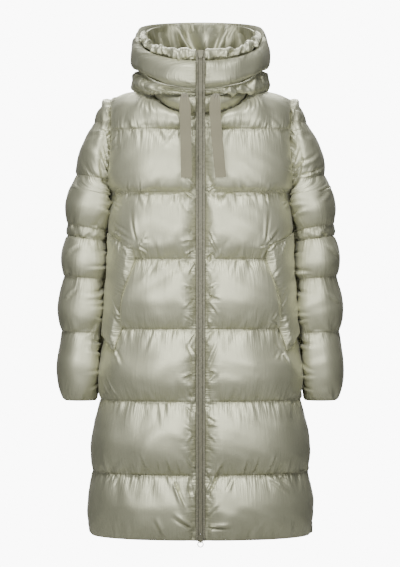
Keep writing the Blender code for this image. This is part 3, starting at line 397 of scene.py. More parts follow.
# %% Tables of the sleeves
CUFF, ELBOW_SEAM = -0.640, -0.302
Arm = namedtuple("Arm", "height inner outer front back rise")
SLEEVE = (
    Arm(CUFF, 0.219, 0.282, 0.048, 0.072, 0),
    Arm(-0.6, 0.215, 0.287, 0.054, 0.078, 0.001),
    Arm(-0.5, 0.203, 0.286, 0.06, 0.084, 0.002),
    Arm(-0.38, 0.197, 0.281, 0.064, 0.086, 0.004),
    Arm(-0.29, 0.194, 0.2755, 0.066, 0.086, 0.007),
    Arm(-0.24, 0.189, 0.269, 0.073, 0.088, 0.008),
    Arm(CHEST_SEAM, 0.18, 0.262, 0.076, 0.088, 0.008),
    Arm(-0.185, 0.168, 0.257, 0.077, 0.087, 0.008),
    Arm(-0.16, 0.156, 0.251, 0.076, 0.085, 0.008),
    Arm(-0.11, 0.15, 0.234, 0.073, 0.081, 0.005),
    Arm(-0.063, 0.15, 0.218, 0.066, 0.072, 0.002),
    Arm(-0.042, 0.155, 0.209, 0.056, 0.06, 0),
    Arm(-0.024, 0.165, 0.199, 0.036, 0.038, 0),
    Arm(-0.01, 0.18, 0.188, 0.01, 0.01, 0),
)
SLEEVE_CHANNELS = (
    Channel(CUFF, -0.497, 0.013),
    Channel(-0.497, -0.384, 0.014),
    Channel(-0.384, ELBOW_SEAM, 0.013),
    Channel(ELBOW_SEAM, -0.279, 0.002),
    Channel(-0.279, -0.1773, 0.014),
    Channel(-0.1773, -0.063, 0.013),
    Channel(-0.063, -0.01, 0.006),
)
UNDERARM_ROWS = (-0.2160, -0.2250)
SLEEVE_SQUARE = 2.05
SLEEVE_FULL_FROM = (24.0, 82.0)
SLEEVE_OUTER_SLACK = 0.35
SLEEVE_HALF = (0.0, 0.035, 0.09, 0.15, 0.21, 0.275, 0.35, 0.425)
SLEEVE_SHARES = SLEEVE_HALF + (0.5,) + tuple(1 - share for share in reversed(SLEEVE_HALF))
ARMHOLE_PULL = (1.0, 0.6, 0.2)
ARMHOLE_FINER = 4  # rows of the sleeve for each of the body beside the armhole
SLEEVE_STEPS = (0.0, 0.12, 0.35, 0.65, 0.88)
BODY_CLEARANCE, ARMHOLE_CLEARANCE, WELT_ROOM, CLEARANCE_SOFTNESS = 0.0016, 0.0060, 0.006, 0.004
LEAN_SPAN, LEAN_MOST = 0.004, 1.5  # the cap's padding stands on its slope, up to this lean

# %% Rings of the collar and hood
Ring = namedtuple(
    "Ring", "half_width front back front_height side_height back_height power back_power"
)
NECK_IN = Ring(0.094, 0.126, 0.08, -0.0485, 0.006, 0.013, 1.6, 1.6)
NECK_OUT = Ring(0.0975, 0.131, 0.0835, -0.0485, 0.01, 0.0165, 1.6, 1.6)
COLLAR_IN = (
    NECK_IN,
    Ring(0.0935, 0.128, 0.0795, -0.039, 0.012, 0.02, 1.6, 1.6),
    Ring(0.094, 0.13, 0.08, -0.027, 0.019, 0.028, 1.8, 1.8),
    Ring(0.095, 0.132, 0.081, -0.0125, 0.029, 0.04, 2, 2),
)
COLLAR_OUT = (
    NECK_OUT,
    Ring(0.103, 0.144, 0.091, -0.0425, 0.0165, 0.0225, 1.6, 1.6),
    Ring(0.106, 0.156, 0.095, -0.028, 0.018, 0.025, 1.8, 1.8),
    Ring(0.103, 0.142, 0.091, -0.0125, 0.022, 0.031, 2, 2),
)
SHELL_IN = (
    Ring(0.095, 0.132, 0.081, -0.0117, 0.0298, 0.0408, 2, 2),
    Ring(0.12, 0.133, 0.132, -0.007, 0.027, 0.018, 2, 2),
    Ring(0.131, 0.1335, 0.162, -0.0035, 0.033, 0.038, 2, 2),
    Ring(0.13, 0.134, 0.16, -0.001, 0.043, 0.085, 2, 2),
    Ring(0.129, 0.134, 0.146, 0.001, 0.05, 0.116, 2, 2),
)
SHELL_OUT = (
    Ring(0.103, 0.142, 0.091, -0.0117, 0.0228, 0.0318, 2, 2),
    Ring(0.138, 0.146, 0.148, -0.0095, 0.0125, -0.008, 2, 2),
    Ring(0.1455, 0.147, 0.176, -0.0045, 0.023, 0.02, 2, 2),
    Ring(0.142, 0.146, 0.178, -0.002, 0.041, 0.072, 2, 2),
    Ring(0.137, 0.143, 0.158, 0.001, 0.05, 0.116, 2, 2),
)
BAND_IN = (
    Ring(0.129, 0.134, 0.146, 0.0018, 0.0508, 0.1168, 2, 2),
    Ring(0.126, 0.1355, 0.142, 0.013, 0.064, 0.124, 1.8, 1.8),
    Ring(0.124, 0.1365, 0.139, 0.028, 0.08, 0.132, 1.5, 1.5),
    Ring(0.124, 0.137, 0.136, 0.044, 0.098, 0.142, 1.2, 0.9),
    Ring(0.124, 0.137, 0.134, 0.056, 0.119, 0.156, 1, 0.7),
)
BAND_OUT = (
    Ring(0.137, 0.143, 0.158, 0.0018, 0.0508, 0.1168, 2, 2),
    Ring(0.144, 0.157, 0.16, 0.01, 0.062, 0.122, 1.8, 1.8),
    Ring(0.146, 0.161, 0.159, 0.028, 0.082, 0.134, 1.5, 1.5),
    Ring(0.144, 0.158, 0.152, 0.046, 0.105, 0.15, 1.2, 0.9),
    Ring(0.135, 0.147, 0.141, 0.06, 0.129, 0.169, 1, 0.7),
)
FACING = (
    Ring(0.1215, 0.1345, 0.128, 0.035, 0.095, 0.141, 1.2, 0.9),
    Ring(0.1215, 0.1345, 0.128, 0.0605, 0.12, 0.157, 1, 0.7),
    Ring(0.13, 0.144, 0.133, 0.064, 0.1315, 0.174, 1, 0.7),
    Ring(0.127, 0.143, 0.13, 0.074, 0.136, 0.176, 0.9, 0.7),
    Ring(0.118, 0.133, 0.121, 0.083, 0.136, 0.174, 0.9, 0.7),
    Ring(0.107, 0.121, 0.11, 0.081, 0.127, 0.166, 0.9, 0.7),
    Ring(0.101, 0.112, 0.104, 0.066, 0.112, 0.146, 0.9, 0.7),
    Ring(0.102, 0.111, 0.105, 0.046, 0.095, 0.132, 1, 0.7),
    Ring(0.111, 0.121, 0.114, 0.033, 0.086, 0.123, 1.2, 0.8),
)
FACING_END, FACING_COLUMNS, FACING_TAPER, HOOD_SQUARE = 104.0, 10, 0.75, 2.15
Fold = namedtuple("Fold", "middle reach forward lean")
CROWN_FOLDS = (
    Fold(0.012, 0.034, 0.052, 0.000),
    Fold(-0.066, 0.010, 0.011, 0.018),
    Fold(-0.088, 0.009, 0.012, 0.012),
    Fold(0.074, 0.016, 0.018, -0.020),
    Fold(-0.056, 0.009, 0.020, 0.050),
    Fold(0.062, 0.008, 0.012, -0.034),
)
CROWN_TOP = Ring(0.122, 0.13, 0.132, 0.06, 0.119, 0.162, 1, 0.7)
CROWN_FOOT = Ring(0.118, 0.12, 0.125, 0, 0.056, 0.066, 1, 1)
CROWN_START, CROWN_WALL = 107.0, 0.004
print(len(BODY), "body sections,", len(SLEEVE), "sleeve sections")

# %% [markdown]
# ## Reading the tables
# A table is read between its rows along a smooth curve that never overshoots, so a waist stays
# where its row puts it. The sections are squared ovals, turned by an angle from the front.


# %% Plain geometry
def curve(t, step, from_value, to_value, from_slope, to_slope):
    """The value at the share t of a step, on the smooth curve between its two ends."""
    start = (1 + 2 * t) * (1 - t) ** 2 * from_value + t * (1 - t) ** 2 * step * from_slope
    end = t * t * (3 - 2 * t) * to_value + t * t * (t - 1) * step * to_slope
    return start + end


def read(rows, column, place):
    """One column of a table at a place between its rows, along a smooth curve."""
    rows = sorted(rows, key=lambda row: row.height)
    places = [row.height for row in rows]
    values = [getattr(row, column) for row in rows]
    place = min(max(place, places[0]), places[-1])
    i = max(i for i in range(len(rows) - 1) if places[i] <= place or i == 0)
    steps = zip(zip(values, values[1:]), zip(places, places[1:]))
    slopes = [(after - before) / (end - start) for (before, after), (start, end) in steps]

    def tangent(k):
        if k == 0 or k == len(rows) - 1:
            return slopes[0] if k == 0 else slopes[-1]
        before, after = slopes[k - 1], slopes[k]
        return 0.0 if before * after <= 0 else 2 * before * after / (before + after)

    step = places[i + 1] - places[i]
    t = (place - places[i]) / step
    return curve(t, step, values[i], values[i + 1], tangent(i), tangent(i + 1))


def unit(vector):
    return np.asarray(vector, float) / np.linalg.norm(vector)


def mix(a, b, share):
    return np.asarray(a, float) * (1 - share) + np.asarray(b, float) * share


def ramp(value, start, end):
    """0 before start and 1 after end, on numbers or whole arrays."""
    t = np.clip((np.asarray(value, float) - start) / (end - start), 0.0, 1.0)
    return t * t * (3 - 2 * t)


def curve_through(values, places, wanted, axis):
    """Values read at the wanted places, along smooth curves through those at the places."""
    values = np.moveaxis(values, axis, 0)
    steps = np.diff(places)
    shape = (-1,) + (1,) * (values.ndim - 1)
    slopes = np.diff(values, axis=0) / steps.reshape(shape)
    before, after = steps[:-1].reshape(shape), steps[1:].reshape(shape)
    between = (slopes[:-1] * after + slopes[1:] * before) / (before + after)
    tangents = np.concatenate([slopes[:1], between, slopes[-1:]])
    i = np.clip(np.searchsorted(places, wanted, side="right") - 1, 0, len(steps) - 1)
    t = ((wanted - places[i]) / steps[i]).reshape(shape)
    ends = values[i], values[i + 1], tangents[i], tangents[i + 1]
    return np.moveaxis(curve(t, steps[i].reshape(shape), *ends), 0, axis)


def oval_reach(s, c, half_width, depth, square):
    return (abs(s / half_width) ** square + abs(c / depth) ** square) ** (-1 / square)


def oval_side(whole, part, of, square):
    """One half axis of a squared oval as it is left beside a part of the other half axis."""
    return whole * (1 - (part / of) ** square) ** (1 / square)


def oval_normal(x, y, half_width, depth, square):
    nx = np.sign(x) * abs(x) ** (square - 1) / half_width**square
    ny = np.sign(y) * abs(y) ** (square - 1) / depth**square
    return unit((nx, ny, 0.0))


def oval(angle, half_width, front, back, square):
    s, c = sin(radians(angle)), cos(radians(angle))
    reach = oval_reach(s, c, half_width, front if c >= 0 else back, square)
    return reach * s, -reach * c


def body_size(height):
    return [read(BODY, name, height) for name in ("half_width", "front", "back", "square")]


def body_point(angle, height):
    x, y = oval(angle, *body_size(height))
    return np.array((x, y, height))


def body_normal(point):
    half_width, front, back, square = body_size(point[2])
    return oval_normal(point[0], point[1], half_width, front if point[1] <= 0 else back, square)


def swelling(channels, height):
    """How far the solids swell at a height, from 0 on a seam to the crown between two."""
    for channel in channels:
        if channel.bottom <= height <= channel.top:
            share = (height - channel.bottom) / (channel.top - channel.bottom)
            return channel.crown * sin(pi * share) ** 0.75
    return 0.0


def ring_point(ring, angle):
    """A point of a collar or hood ring, by its angle from the front towards +X."""
    x, y = oval(angle, ring.half_width, ring.front, ring.back, HOOD_SQUARE)
    c = cos(radians(angle))
    end, power = ring.back_height, ring.back_power
    if c >= 0:
        end, power = ring.front_height, ring.power
    return np.array((x, y, ring.side_height + (end - ring.side_height) * abs(c) ** power))


def zip_angle(half_width, front, square):
    return degrees(atan2(ZIP_EDGE, oval_side(front, ZIP_EDGE, half_width, square)))


def ring_start(ring):
    return zip_angle(ring.half_width, ring.front, HOOD_SQUARE)


def front_ring_angle(ring, column):
    start = ring_start(ring)
    return start + (NECK_POINT_ANGLE - start) * column / FRONT_NECK_COLUMNS


print("the hem is", round(2 * body_point(90, HEM)[0], 3), "m wide inside")

# %% [markdown]
# ## The forms of the body
# A sewn piece is kept as a `Form`: the points of its plain inside, the way its padding stands
# on each point, how thick it is with no filling, and how much of its channel's crown it takes.
# The front is full across and pinched at the zip, and it goes slack towards the side seam.

# %% Forms of the fronts and the back
Form = namedtuple("Form", "inside way bare full seams crowns")


def front_share(column, height):
    fixed = FRONT_COLUMNS[column]
    if fixed is not None:
        return fixed
    inner, outer = read(WELT_EDGES, "inner", height), read(WELT_EDGES, "outer", height)
    steps = WELT_OUTER_COLUMN - WELT_INNER_COLUMN
    return inner + (outer - inner) * (column - WELT_INNER_COLUMN) / steps


def front_fullness(share):
    at_side = 1 - 0.45 * ramp(share, 0.45, 0.92) - 0.40 * ramp(share, 0.88, 1.0)
    return float(0.2 + 0.8 * ramp(share, 0.0, 0.10)) * float(at_side)


def back_fullness(share):
    edge = min(share, 1 - share)
    return float(0.15 + 0.40 * ramp(edge, 0.0, 0.07) + 0.45 * ramp(edge, 0.05, 0.3))


def angle_at_armhole(height, behind):
    half_width, front, back, square = body_size(height)
    depth = read(ARMHOLE, "back" if behind else "front", height)
    across = oval_side(half_width, depth, back if behind else front, square)
    return degrees(atan2(across, -depth if behind else depth))


def armhole_direction(point):
    upward = (point[2] - ARMHOLE_MIDDLE) / ARMHOLE_HALF_HEIGHT
    return unit((ARMHOLE_LEAN * np.sign(point[0]), point[1] / ARMHOLE_HALF_DEPTH, upward))


def shoulder_point(share):
    return mix(ring_point(NECK_IN, NECK_POINT_ANGLE), SHOULDER_POINT, share)


body_heights = [
    channel.bottom + step * (channel.top - channel.bottom)
    for channel in BODY_CHANNELS
    for step in CHANNEL_STEPS
] + [YOKE_SEAM]
BODY_SEAMS = [len(CHANNEL_STEPS) * k for k in range(len(BODY_CHANNELS) + 1)]


def nearest_row(heights, height):
    return min(range(len(heights)), key=lambda i: abs(heights[i] - height))


def body_form(angles_at, full, tops, edges, slope):
    """Rows up the body from the hem, then over the yoke to the neck and the shoulder seam."""
    inside, way = [], []
    for row, height in enumerate(body_heights):
        points = [
            body_point(angle, height + slope(row, column))
            for column, angle in enumerate(angles_at(height))
        ]
        ways = [body_normal(point) for point in points]
        if height >= CHEST_SEAM - 1e-6:
            for column in edges:
                ways[column] = armhole_direction(points[column])
        inside.append(points)
        way.append(ways)
    for step in YOKE_STEPS[1:]:
        points, ways = [], []
        for column, (end, end_way) in enumerate(tops):
            start = inside[len(body_heights) - 1][column]
            corner = np.array(
                (0.6 * start[0] + 0.4 * end[0], start[1] * 0.97, 0.2 * start[2] + 0.8 * end[2])
            )
            point = (1 - step) ** 2 * start + 2 * step * (1 - step) * corner + step * step * end
            points.append(point)
            out = unit(mix(body_normal(start), end_way, step))
            ways.append(armhole_direction(point) if column in edges else out)
        inside.append(points)
        way.append(ways)
    full = np.array(full + [full[-1]] * (len(YOKE_STEPS) - 1))
    for column in edges:
        full[nearest_row(body_heights, CHEST_SEAM) :, column] = 0.0
    crowns = [channel.crown for channel in BODY_CHANNELS] + [YOKE_CROWN]
    seams = BODY_SEAMS + [len(inside) - 1]
    return Form(np.array(inside), np.array(way), np.full(full.shape, CLOTH), full, seams, crowns)


def front_form():
    count = len(FRONT_COLUMNS)
    top_row, bottom_row = (nearest_row(body_heights, end) for end in (WELT_TOP, WELT_BOTTOM))

    def angles_at(height):
        half_width, front, _, square = body_size(height)
        start = zip_angle(half_width, front, square)
        end = angle_at_armhole(height, False) if height > CHEST_SEAM else 90.0
        return [start + (end - start) * front_share(column, height) for column in range(count)]

    def slope(row, column):
        if row not in (top_row, bottom_row):
            return 0.0
        target = WELT_TOP if row == top_row else WELT_BOTTOM
        along = ramp(column, WELT_INNER_COLUMN - 0.1, WELT_OUTER_COLUMN)
        start = (target - body_heights[row]) * ramp(column, 2, WELT_INNER_COLUMN)
        fade = 1 - ramp(column, WELT_OUTER_COLUMN, count - 1)
        return float((start + WELT_SLOPE * along) * fade)

    full = [
        [front_fullness(front_share(column, height)) for column in range(count)]
        for height in body_heights
    ]
    tops = []
    for column in range(count):
        if column <= FRONT_NECK_COLUMNS:
            inner, outer = (
                ring_point(ring, front_ring_angle(ring, column)) for ring in (NECK_IN, NECK_OUT)
            )
            tops.append((inner, unit(outer - inner)))
        else:
            share = (column - FRONT_NECK_COLUMNS) / (count - 1 - FRONT_NECK_COLUMNS)
            tops.append((shoulder_point(share), unit((0.15, 0.0, 1.0))))
    form = body_form(angles_at, full, tops, (count - 1,), slope)
    form.inside[:, -1, 1] -= GAP / 2
    form.inside[-1, FRONT_NECK_COLUMNS:, 1] -= GAP / 2
    return form, bottom_row, top_row


def back_form():
    shares = BACK_COLUMNS + tuple(1 - share for share in reversed(BACK_COLUMNS[:-1]))
    last = len(shares) - 1

    def angles_at(height):
        start = angle_at_armhole(height, True) if height > CHEST_SEAM else 90.0
        return [start + (360 - 2 * start) * share for share in shares]

    tops = []
    for column in range(last + 1):
        from_edge = min(column, last - column)
        if from_edge < BACK_SHOULDER_COLUMNS:
            point = shoulder_point(1 - from_edge / BACK_SHOULDER_COLUMNS)
            way = unit((0.15, 0.0, 1.0))
            if column > last / 2:
                point, way = point * (-1, 1, 1), way * (-1, 1, 1)
            tops.append((point, way))
        else:
            turn = (column - BACK_SHOULDER_COLUMNS) / (last - 2 * BACK_SHOULDER_COLUMNS)
            inner, outer = (ring_point(ring, 90 + 180 * turn) for ring in (NECK_IN, NECK_OUT))
            tops.append((inner, unit(outer - inner)))
    full = [[back_fullness(share) for share in shares] for _ in body_heights]
    form = body_form(angles_at, full, tops, (0, last), lambda row, column: 0.0)
    form.inside[:, (0, last), 1] += GAP / 2
    form.inside[-1, 1 : BACK_SHOULDER_COLUMNS + 1, 1] += GAP / 2
    form.inside[-1, last - BACK_SHOULDER_COLUMNS : last, 1] += GAP / 2
    return form


right_front, welt_bottom_row, welt_top_row = front_form()
whole_back = back_form()
print("front form", right_front.inside.shape[:2], "back form", whole_back.inside.shape[:2])

# %% [markdown]
# ## The forms of the sleeves
# A sleeve is drawn from the body's side round the front and back again. Its upper rows end on
# the armhole's edge, and everywhere else it keeps a few millimetres clear of the body.


# %% Forms of the sleeves
def body_outside(depth, height):
    """How far the body's outside reaches sideways, at a depth from the side seam's plane."""
    half_width, front, back, square = body_size(height)
    side = front if depth < 0 else back
    near = min(abs(depth) / (side + 2 * CLOTH), 0.995)
    share = degrees(atan2(oval_side(half_width, near, 1.0, square), abs(depth))) / 90
    fullness = front_fullness(share) if depth < 0 else back_fullness((1 - share) / 2)
    swell = CLOTH + swelling(BODY_CHANNELS, height) * fullness
    if abs(depth) >= side + swell:
        return 0.0
    return oval_side(half_width + swell, abs(depth), side + swell, square)


def sleeve_point(turn, height):
    """A point of the sleeve's inside; the turn is in degrees from the body round the front."""
    inner, outer, front, back = (
        read(SLEEVE, name, height) for name in ("inner", "outer", "front", "back")
    )
    half, middle = (outer - inner) / 2, (outer + inner) / 2
    s, c = -cos(radians(turn)), -sin(radians(turn))
    shape = (half, front if c < 0 else back, SLEEVE_SQUARE)
    reach = oval_reach(s, c, *shape)
    x, y = middle + reach * s, reach * c
    normal = oval_normal(reach * s, reach * c, *shape)
    if height < CHEST_SEAM + 0.001:
        beside_welt = ramp(height, WELT_BOTTOM - 0.05, WELT_BOTTOM) * ramp(height, -0.26, WELT_TOP)
        room = CLOTH + BODY_CLEARANCE + WELT_ROOM * beside_welt * ramp(-y, 0.0, 0.02)
        nearest = body_outside(y, height) + room
        x = nearest + CLEARANCE_SOFTNESS * log1p(exp(min((x - nearest) / CLEARANCE_SOFTNESS, 50)))
    rise = read(SLEEVE, "rise", height) * (x - middle) / half
    lean = read(SLEEVE, "outer", height - LEAN_SPAN) - read(SLEEVE, "outer", height + LEAN_SPAN)
    normal[2] = min(max(lean / (2 * LEAN_SPAN), 0.0), LEAN_MOST) * max(normal[0], 0.0)
    return np.array((x, y, height + rise)), unit(normal)


def sleeve_form(body_front, body_back):
    """The whole right sleeve, from its cap down; its edges on the armhole copy the body's."""
    start = nearest_row(body_heights, CHEST_SEAM)
    shift = np.array((0.0005, 0.0, 0.0))
    edges = []
    for form, column in ((body_front, -1), (body_back, 0)):
        inner = form.inside[start:, column] + shift
        known = np.arange(len(inner))
        between = np.linspace(0, known[-1], known[-1] * ARMHOLE_FINER + 1)
        pair = (inner, inner + form.way[start:, column] * CLOTH)
        edges.append([curve_through(line, known, between, 0) for line in pair])
    heights = [point[2] for point in edges[0][0]]
    below = [
        channel.bottom + step * (channel.top - channel.bottom)
        for channel in reversed(SLEEVE_CHANNELS)
        for step in reversed(SLEEVE_STEPS)
    ]
    below = [height for height in below if height < UNDERARM_ROWS[-1] - 0.012]
    rows = sorted(set(heights), reverse=True) + list(UNDERARM_ROWS) + below
    inside, outside, full = [], [], []
    for height in rows:
        on_armhole = height >= CHEST_SEAM - 1e-6
        first, final = 0.15, 359.85
        if on_armhole:
            k = heights.index(height)
            middle = (read(SLEEVE, "inner", height) + read(SLEEVE, "outer", height)) / 2
            near, far = edges[0][0][k], edges[1][0][k]
            first = degrees(atan2(-near[1], middle - near[0])) + 1e-3
            final = 360 - degrees(atan2(far[1], middle - far[0])) - 1e-3
        inner_row, outer_row, full_row = [], [], []
        for share in SLEEVE_SHARES:
            turn = first + (final - first) * share
            base, normal = sleeve_point(turn, height)
            away = float(ramp(min(turn, 360 - turn), *SLEEVE_FULL_FROM))
            away *= 1 - SLEEVE_OUTER_SLACK * float(ramp(abs(turn - 180), 60, 0))
            inner_row.append(base)
            outer_row.append(base + normal * (CLOTH + swelling(SLEEVE_CHANNELS, height) * away))
            full_row.append(away)
        if on_armhole:
            for end in (0, -1):
                pull_inner = edges[end][0][k] - inner_row[end]
                pull_outer = edges[end][1][k] - outer_row[end]
                for away, share in enumerate(ARMHOLE_PULL):
                    column = away if end == 0 else -1 - away
                    inner_row[column] = inner_row[column] + pull_inner * share
                    outer_row[column] = outer_row[column] + pull_outer * share
            for line, cloth in ((inner_row, CLOTH), (outer_row, 0.0)):
                for column in range(1, len(line) - 1):
                    x, y, z = line[column]
                    nearest = body_outside(y, z) + cloth + ARMHOLE_CLEARANCE
                    line[column] = np.array((max(x, nearest), y, z))
        else:
            for line in (inner_row, outer_row):
                line[0] = line[0] - (0, GAP / 2, 0)
                line[-1] = line[-1] + (0, GAP / 2, 0)
        inside.append(inner_row)
        outside.append(outer_row)
        full.append(full_row)
    inside, outside, full = np.array(inside), np.array(outside), np.array(full)
    inside[0], outside[0] = inside[0].mean(axis=0), outside[0].mean(axis=0)
    thick = np.linalg.norm(outside - inside, axis=2)
    way = (outside - inside) / thick[:, :, None]
    swell = np.array([swelling(SLEEVE_CHANNELS, height) for height in rows])
    bare = thick - swell[:, None] * full
    seams = [0]
    for channel in reversed(SLEEVE_CHANNELS):
        seams.append(nearest_row(rows, channel.bottom))
    crowns = [channel.crown for channel in reversed(SLEEVE_CHANNELS)]
    return Form(inside, way, bare, full, seams, crowns)


right_sleeve = sleeve_form(right_front, whole_back)
print("sleeve form", right_sleeve.inside.shape[:2], "seam rows", right_sleeve.seams)

# %% [markdown]
# ## From a form to a fine sheet of cloth
# A form has a few dozen rows. The cloth needs a vertex every two or three millimetres, or its
# pleats can't be told from dents. So the form is read again along smooth curves, with a row of
# vertices exactly on each seam. Distances are measured along the cloth, because a pleat is as
# wide on a flat panel as on a tight curve.

# %% Fine cloth
Cloth = namedtuple("Cloth", "inside outside out down across seams share full")
CHANNEL_FALL = 0.86  # the filling sinks, so a channel is fullest just below its middle
CROWN_POWER = 0.92  # below 1, the cloth leaves a seam steeply and is flat in the middle
HANG = 0.0018  # how far a full channel hangs over the seam below it
EDGE_TURN, EDGE_REACH = 0.0022, 0.0035  # a sewn edge is turned in
ROWS_NEAR_SEAMS = 0.55  # how much closer together rows are beside a seam


def travel(points, axis):
    """Distance covered along a grid of points, from its first row or column."""
    steps = np.linalg.norm(np.diff(points, axis=axis), axis=2)
    start = np.zeros_like(np.take(steps, [0], axis=axis))
    return np.cumsum(np.concatenate([start, steps], axis=axis), axis=axis)


def length_along(line):
    steps = np.linalg.norm(np.diff(line, axis=0), axis=1)
    return np.concatenate([[0], np.cumsum(steps)])


def direction(line):
    return unit_rows(np.gradient(line, axis=0))


def even(start, end, step):
    count = max(2, int(round((end - start) / step)))
    return np.linspace(start, end, count + 1)


def outward(points, way):
    """Unit vectors square to a grid of points, on the side that the given ways point to."""
    square = np.cross(np.gradient(points, axis=1), np.gradient(points, axis=0))
    square /= np.maximum(np.linalg.norm(square, axis=2, keepdims=True), 1e-12)
    return square * (1.0 if (square * way).sum() > 0 else -1.0)


def unit_rows(vectors):
    return vectors / np.linalg.norm(vectors, axis=-1, keepdims=True)


def refine(values, rows, columns):
    """A grid of values read again; rows and columns are pairs of known and wanted places."""
    return curve_through(curve_through(values, *rows, 0), *columns, 1)


def both_ways(distance, axis):
    """A travelled distance, and what is left of it up to the last row or column."""
    return distance, np.take(distance, [-1], axis=axis) - distance


def pinned(distance, axis, first=0.003, last=0.003):
    """0 where a grid is sewn at both ends of an axis, and 1 from a few millimetres on."""
    start, end = both_ways(distance, axis)
    return ramp(start, 0.0, first) * ramp(end, 0.0, last)


def channel_profile(share):
    """How full a channel is, from 0 on the seam below it over 1 to 0 on the seam above."""
    return np.sin(pi * np.clip(share, 0, 1) ** CHANNEL_FALL) ** CROWN_POWER


def weave(form, row_step, column_step, first_seam=0, last_seam=None, by_height=False):
    """The cloth of a form between two of its seams, before any pleat."""
    down = travel(form.inside, 0).mean(axis=1)
    across = travel(form.inside, 1).mean(axis=0)
    seams = form.seams[first_seam : None if last_seam is None else last_seam + 1]
    crowns = form.crowns[first_seam:last_seam]
    rows, seam_rows = [down[seams[0]]], [0]
    for lower, upper in zip(seams, seams[1:]):
        steps = even(0.0, 1.0, row_step / (down[upper] - down[lower]))
        steps = steps + ROWS_NEAR_SEAMS * (0.5 - 0.5 * np.cos(pi * steps) - steps)
        rows += list(down[lower] + steps[1:] * (down[upper] - down[lower]))
        seam_rows.append(len(rows) - 1)
    rows = np.array(rows)
    grid = (down, rows), (across, even(across[0], across[-1], column_step))
    inside, way, bare, full = (refine(values, *grid) for values in form[:4])
    way, full = unit_rows(way), np.clip(full, 0, 1)
    share, crown = np.zeros(len(rows)), np.zeros(len(rows))
    measure = inside[:, :, 2].mean(axis=1) if by_height else rows
    for (start, end), height in zip(zip(seam_rows, seam_rows[1:]), crowns):
        part = measure[start : end + 1]
        share[start : end + 1] = (part - part[0]) / (part[-1] - part[0])
        crown[start : end + 1] = height
    upright = share if inside[-1, 0, 2] > inside[0, 0, 2] else 1 - share
    thick = bare + (crown * channel_profile(upright))[:, None] * full
    for axis in (0, 1):
        for away in both_ways(travel(inside, axis), axis):
            thick -= EDGE_TURN * np.exp(-((away / EDGE_REACH) ** 2))
    outside = inside + way * thick[:, :, None]
    hang = np.sin(pi * upright) ** 0.9 * (1 - upright)
    outside[:, :, 2] -= 2 * HANG * (crown / 0.02 * hang)[:, None] * full
    measures = travel(inside, 0), travel(inside, 1)
    return Cloth(inside, outside, outward(outside, way), *measures, seam_rows, upright, full)


# %% [markdown]
# ## Pleats, drag lines and slack
# A line of stitching takes up more shell than lining, so the shell is drawn into short pleats
# that stand square to the seam and run out into the channel. Each one has its own length, lean
# and depth, and long ones are rare. A drag line is a longer fold, where the cloth is pulled
# from one sewn point to another. Slack is the slow unevenness of the filling.

# %% Pleats, drag lines and slack
Pleats = namedtuple("Pleats", "spacing reach depth lean scatter", defaults=(0.0, 0.22))
PLEAT_SPREAD = 0.9  # how much wider a pleat is where it runs out
FOLD_STEEPEST = 0.85  # depth of a fold at most, by its width


def gather(relief, along, away, seed, pleats, smooth=0.006):
    """Adds the pleats on one side of a seam; away is the distance from it, below 0 beyond."""
    spacing, reach, depth, lean, scatter = pleats
    draw = np.random.default_rng(seed)
    near = (away >= 0) & (away < reach)
    if not near.any():
        return
    place, across, out = along[near].min() - spacing, along[near], away[near]
    total, last = np.zeros_like(across), along[near].max() + spacing
    while place < last:
        place += spacing * draw.uniform(0.45, 1.7)
        length = reach * (0.3 + 0.7 * draw.uniform() ** 1.8)
        width = spacing * draw.uniform(0.26, 0.46)
        slant = lean + draw.normal(0.0, scatter)
        bend = draw.normal(0.0, 4.0)
        strength = depth * (0.35 + 0.65 * length / reach) * draw.uniform(0.6, 1.3)
        where = (across - place - slant * out - bend * out**2) / (
            width * (1 + PLEAT_SPREAD * out / length)
        )
        rise = ramp(out, 0.0, smooth)
        fade = np.clip(1 - out / length, 0, 1) ** 1.2 * rise
        side = draw.choice((-1.0, 1.0))
        valley = np.exp(-np.abs(where) ** 1.5)
        ridge = np.exp(-((where - side * 1.6) ** 2) / 0.8)
        total += strength * fade * (0.75 * ridge - valley)
    relief[near] += total


def drag(relief, across, down, start, end, width, depth):
    """A long fold from one place on the cloth to another: a crest beside a trough."""
    way = np.array(end, float) - np.array(start, float)
    length = np.hypot(*way)
    way = way / length
    u, v = across - start[0], down - start[1]
    t = (u * way[0] + v * way[1]) / length
    off = (v * way[0] - u * way[1]) / (width * (0.55 + 0.45 * np.clip(t, 0, 1)))
    fade = ramp(t, 0.0, 0.15) * (1 - ramp(t, 0.45, 1.0))
    relief += depth * fade * (np.exp(-((off - 0.7) ** 2)) - 1.1 * np.exp(-((off + 0.5) ** 2) / 0.5))


def nearest_place(cloth, x, z, within=1.0):
    """Across and down of the cloth's place that shows at x and z from the front."""
    behind = (cloth.out[:, :, 1] > 0.25) | (cloth.across > within * cloth.across[:, -1:])
    hidden = np.where(behind, 1.0, 0.0)
    apart = (cloth.outside[:, :, 0] - x) ** 2 + (cloth.outside[:, :, 2] - z) ** 2
    nearest = np.unravel_index(np.argmin(apart + hidden), apart.shape)
    return cloth.across[nearest], cloth.down[nearest]


def radiate(relief, cloth, x, z, seed, count, reach, depth):
    """Short folds that run out from one sewn point, all round it."""
    draw = np.random.default_rng(seed)
    u, v = nearest_place(cloth, x, z)
    for k in range(count):
        turn = 2 * pi * (k + draw.uniform(-0.3, 0.3)) / count
        length = reach * draw.uniform(0.5, 1.2)
        end = (u + length * cos(turn), v + length * sin(turn))
        drag(relief, cloth.across, cloth.down, (u, v), end, 0.0026, depth * draw.uniform(0.6, 1.2))


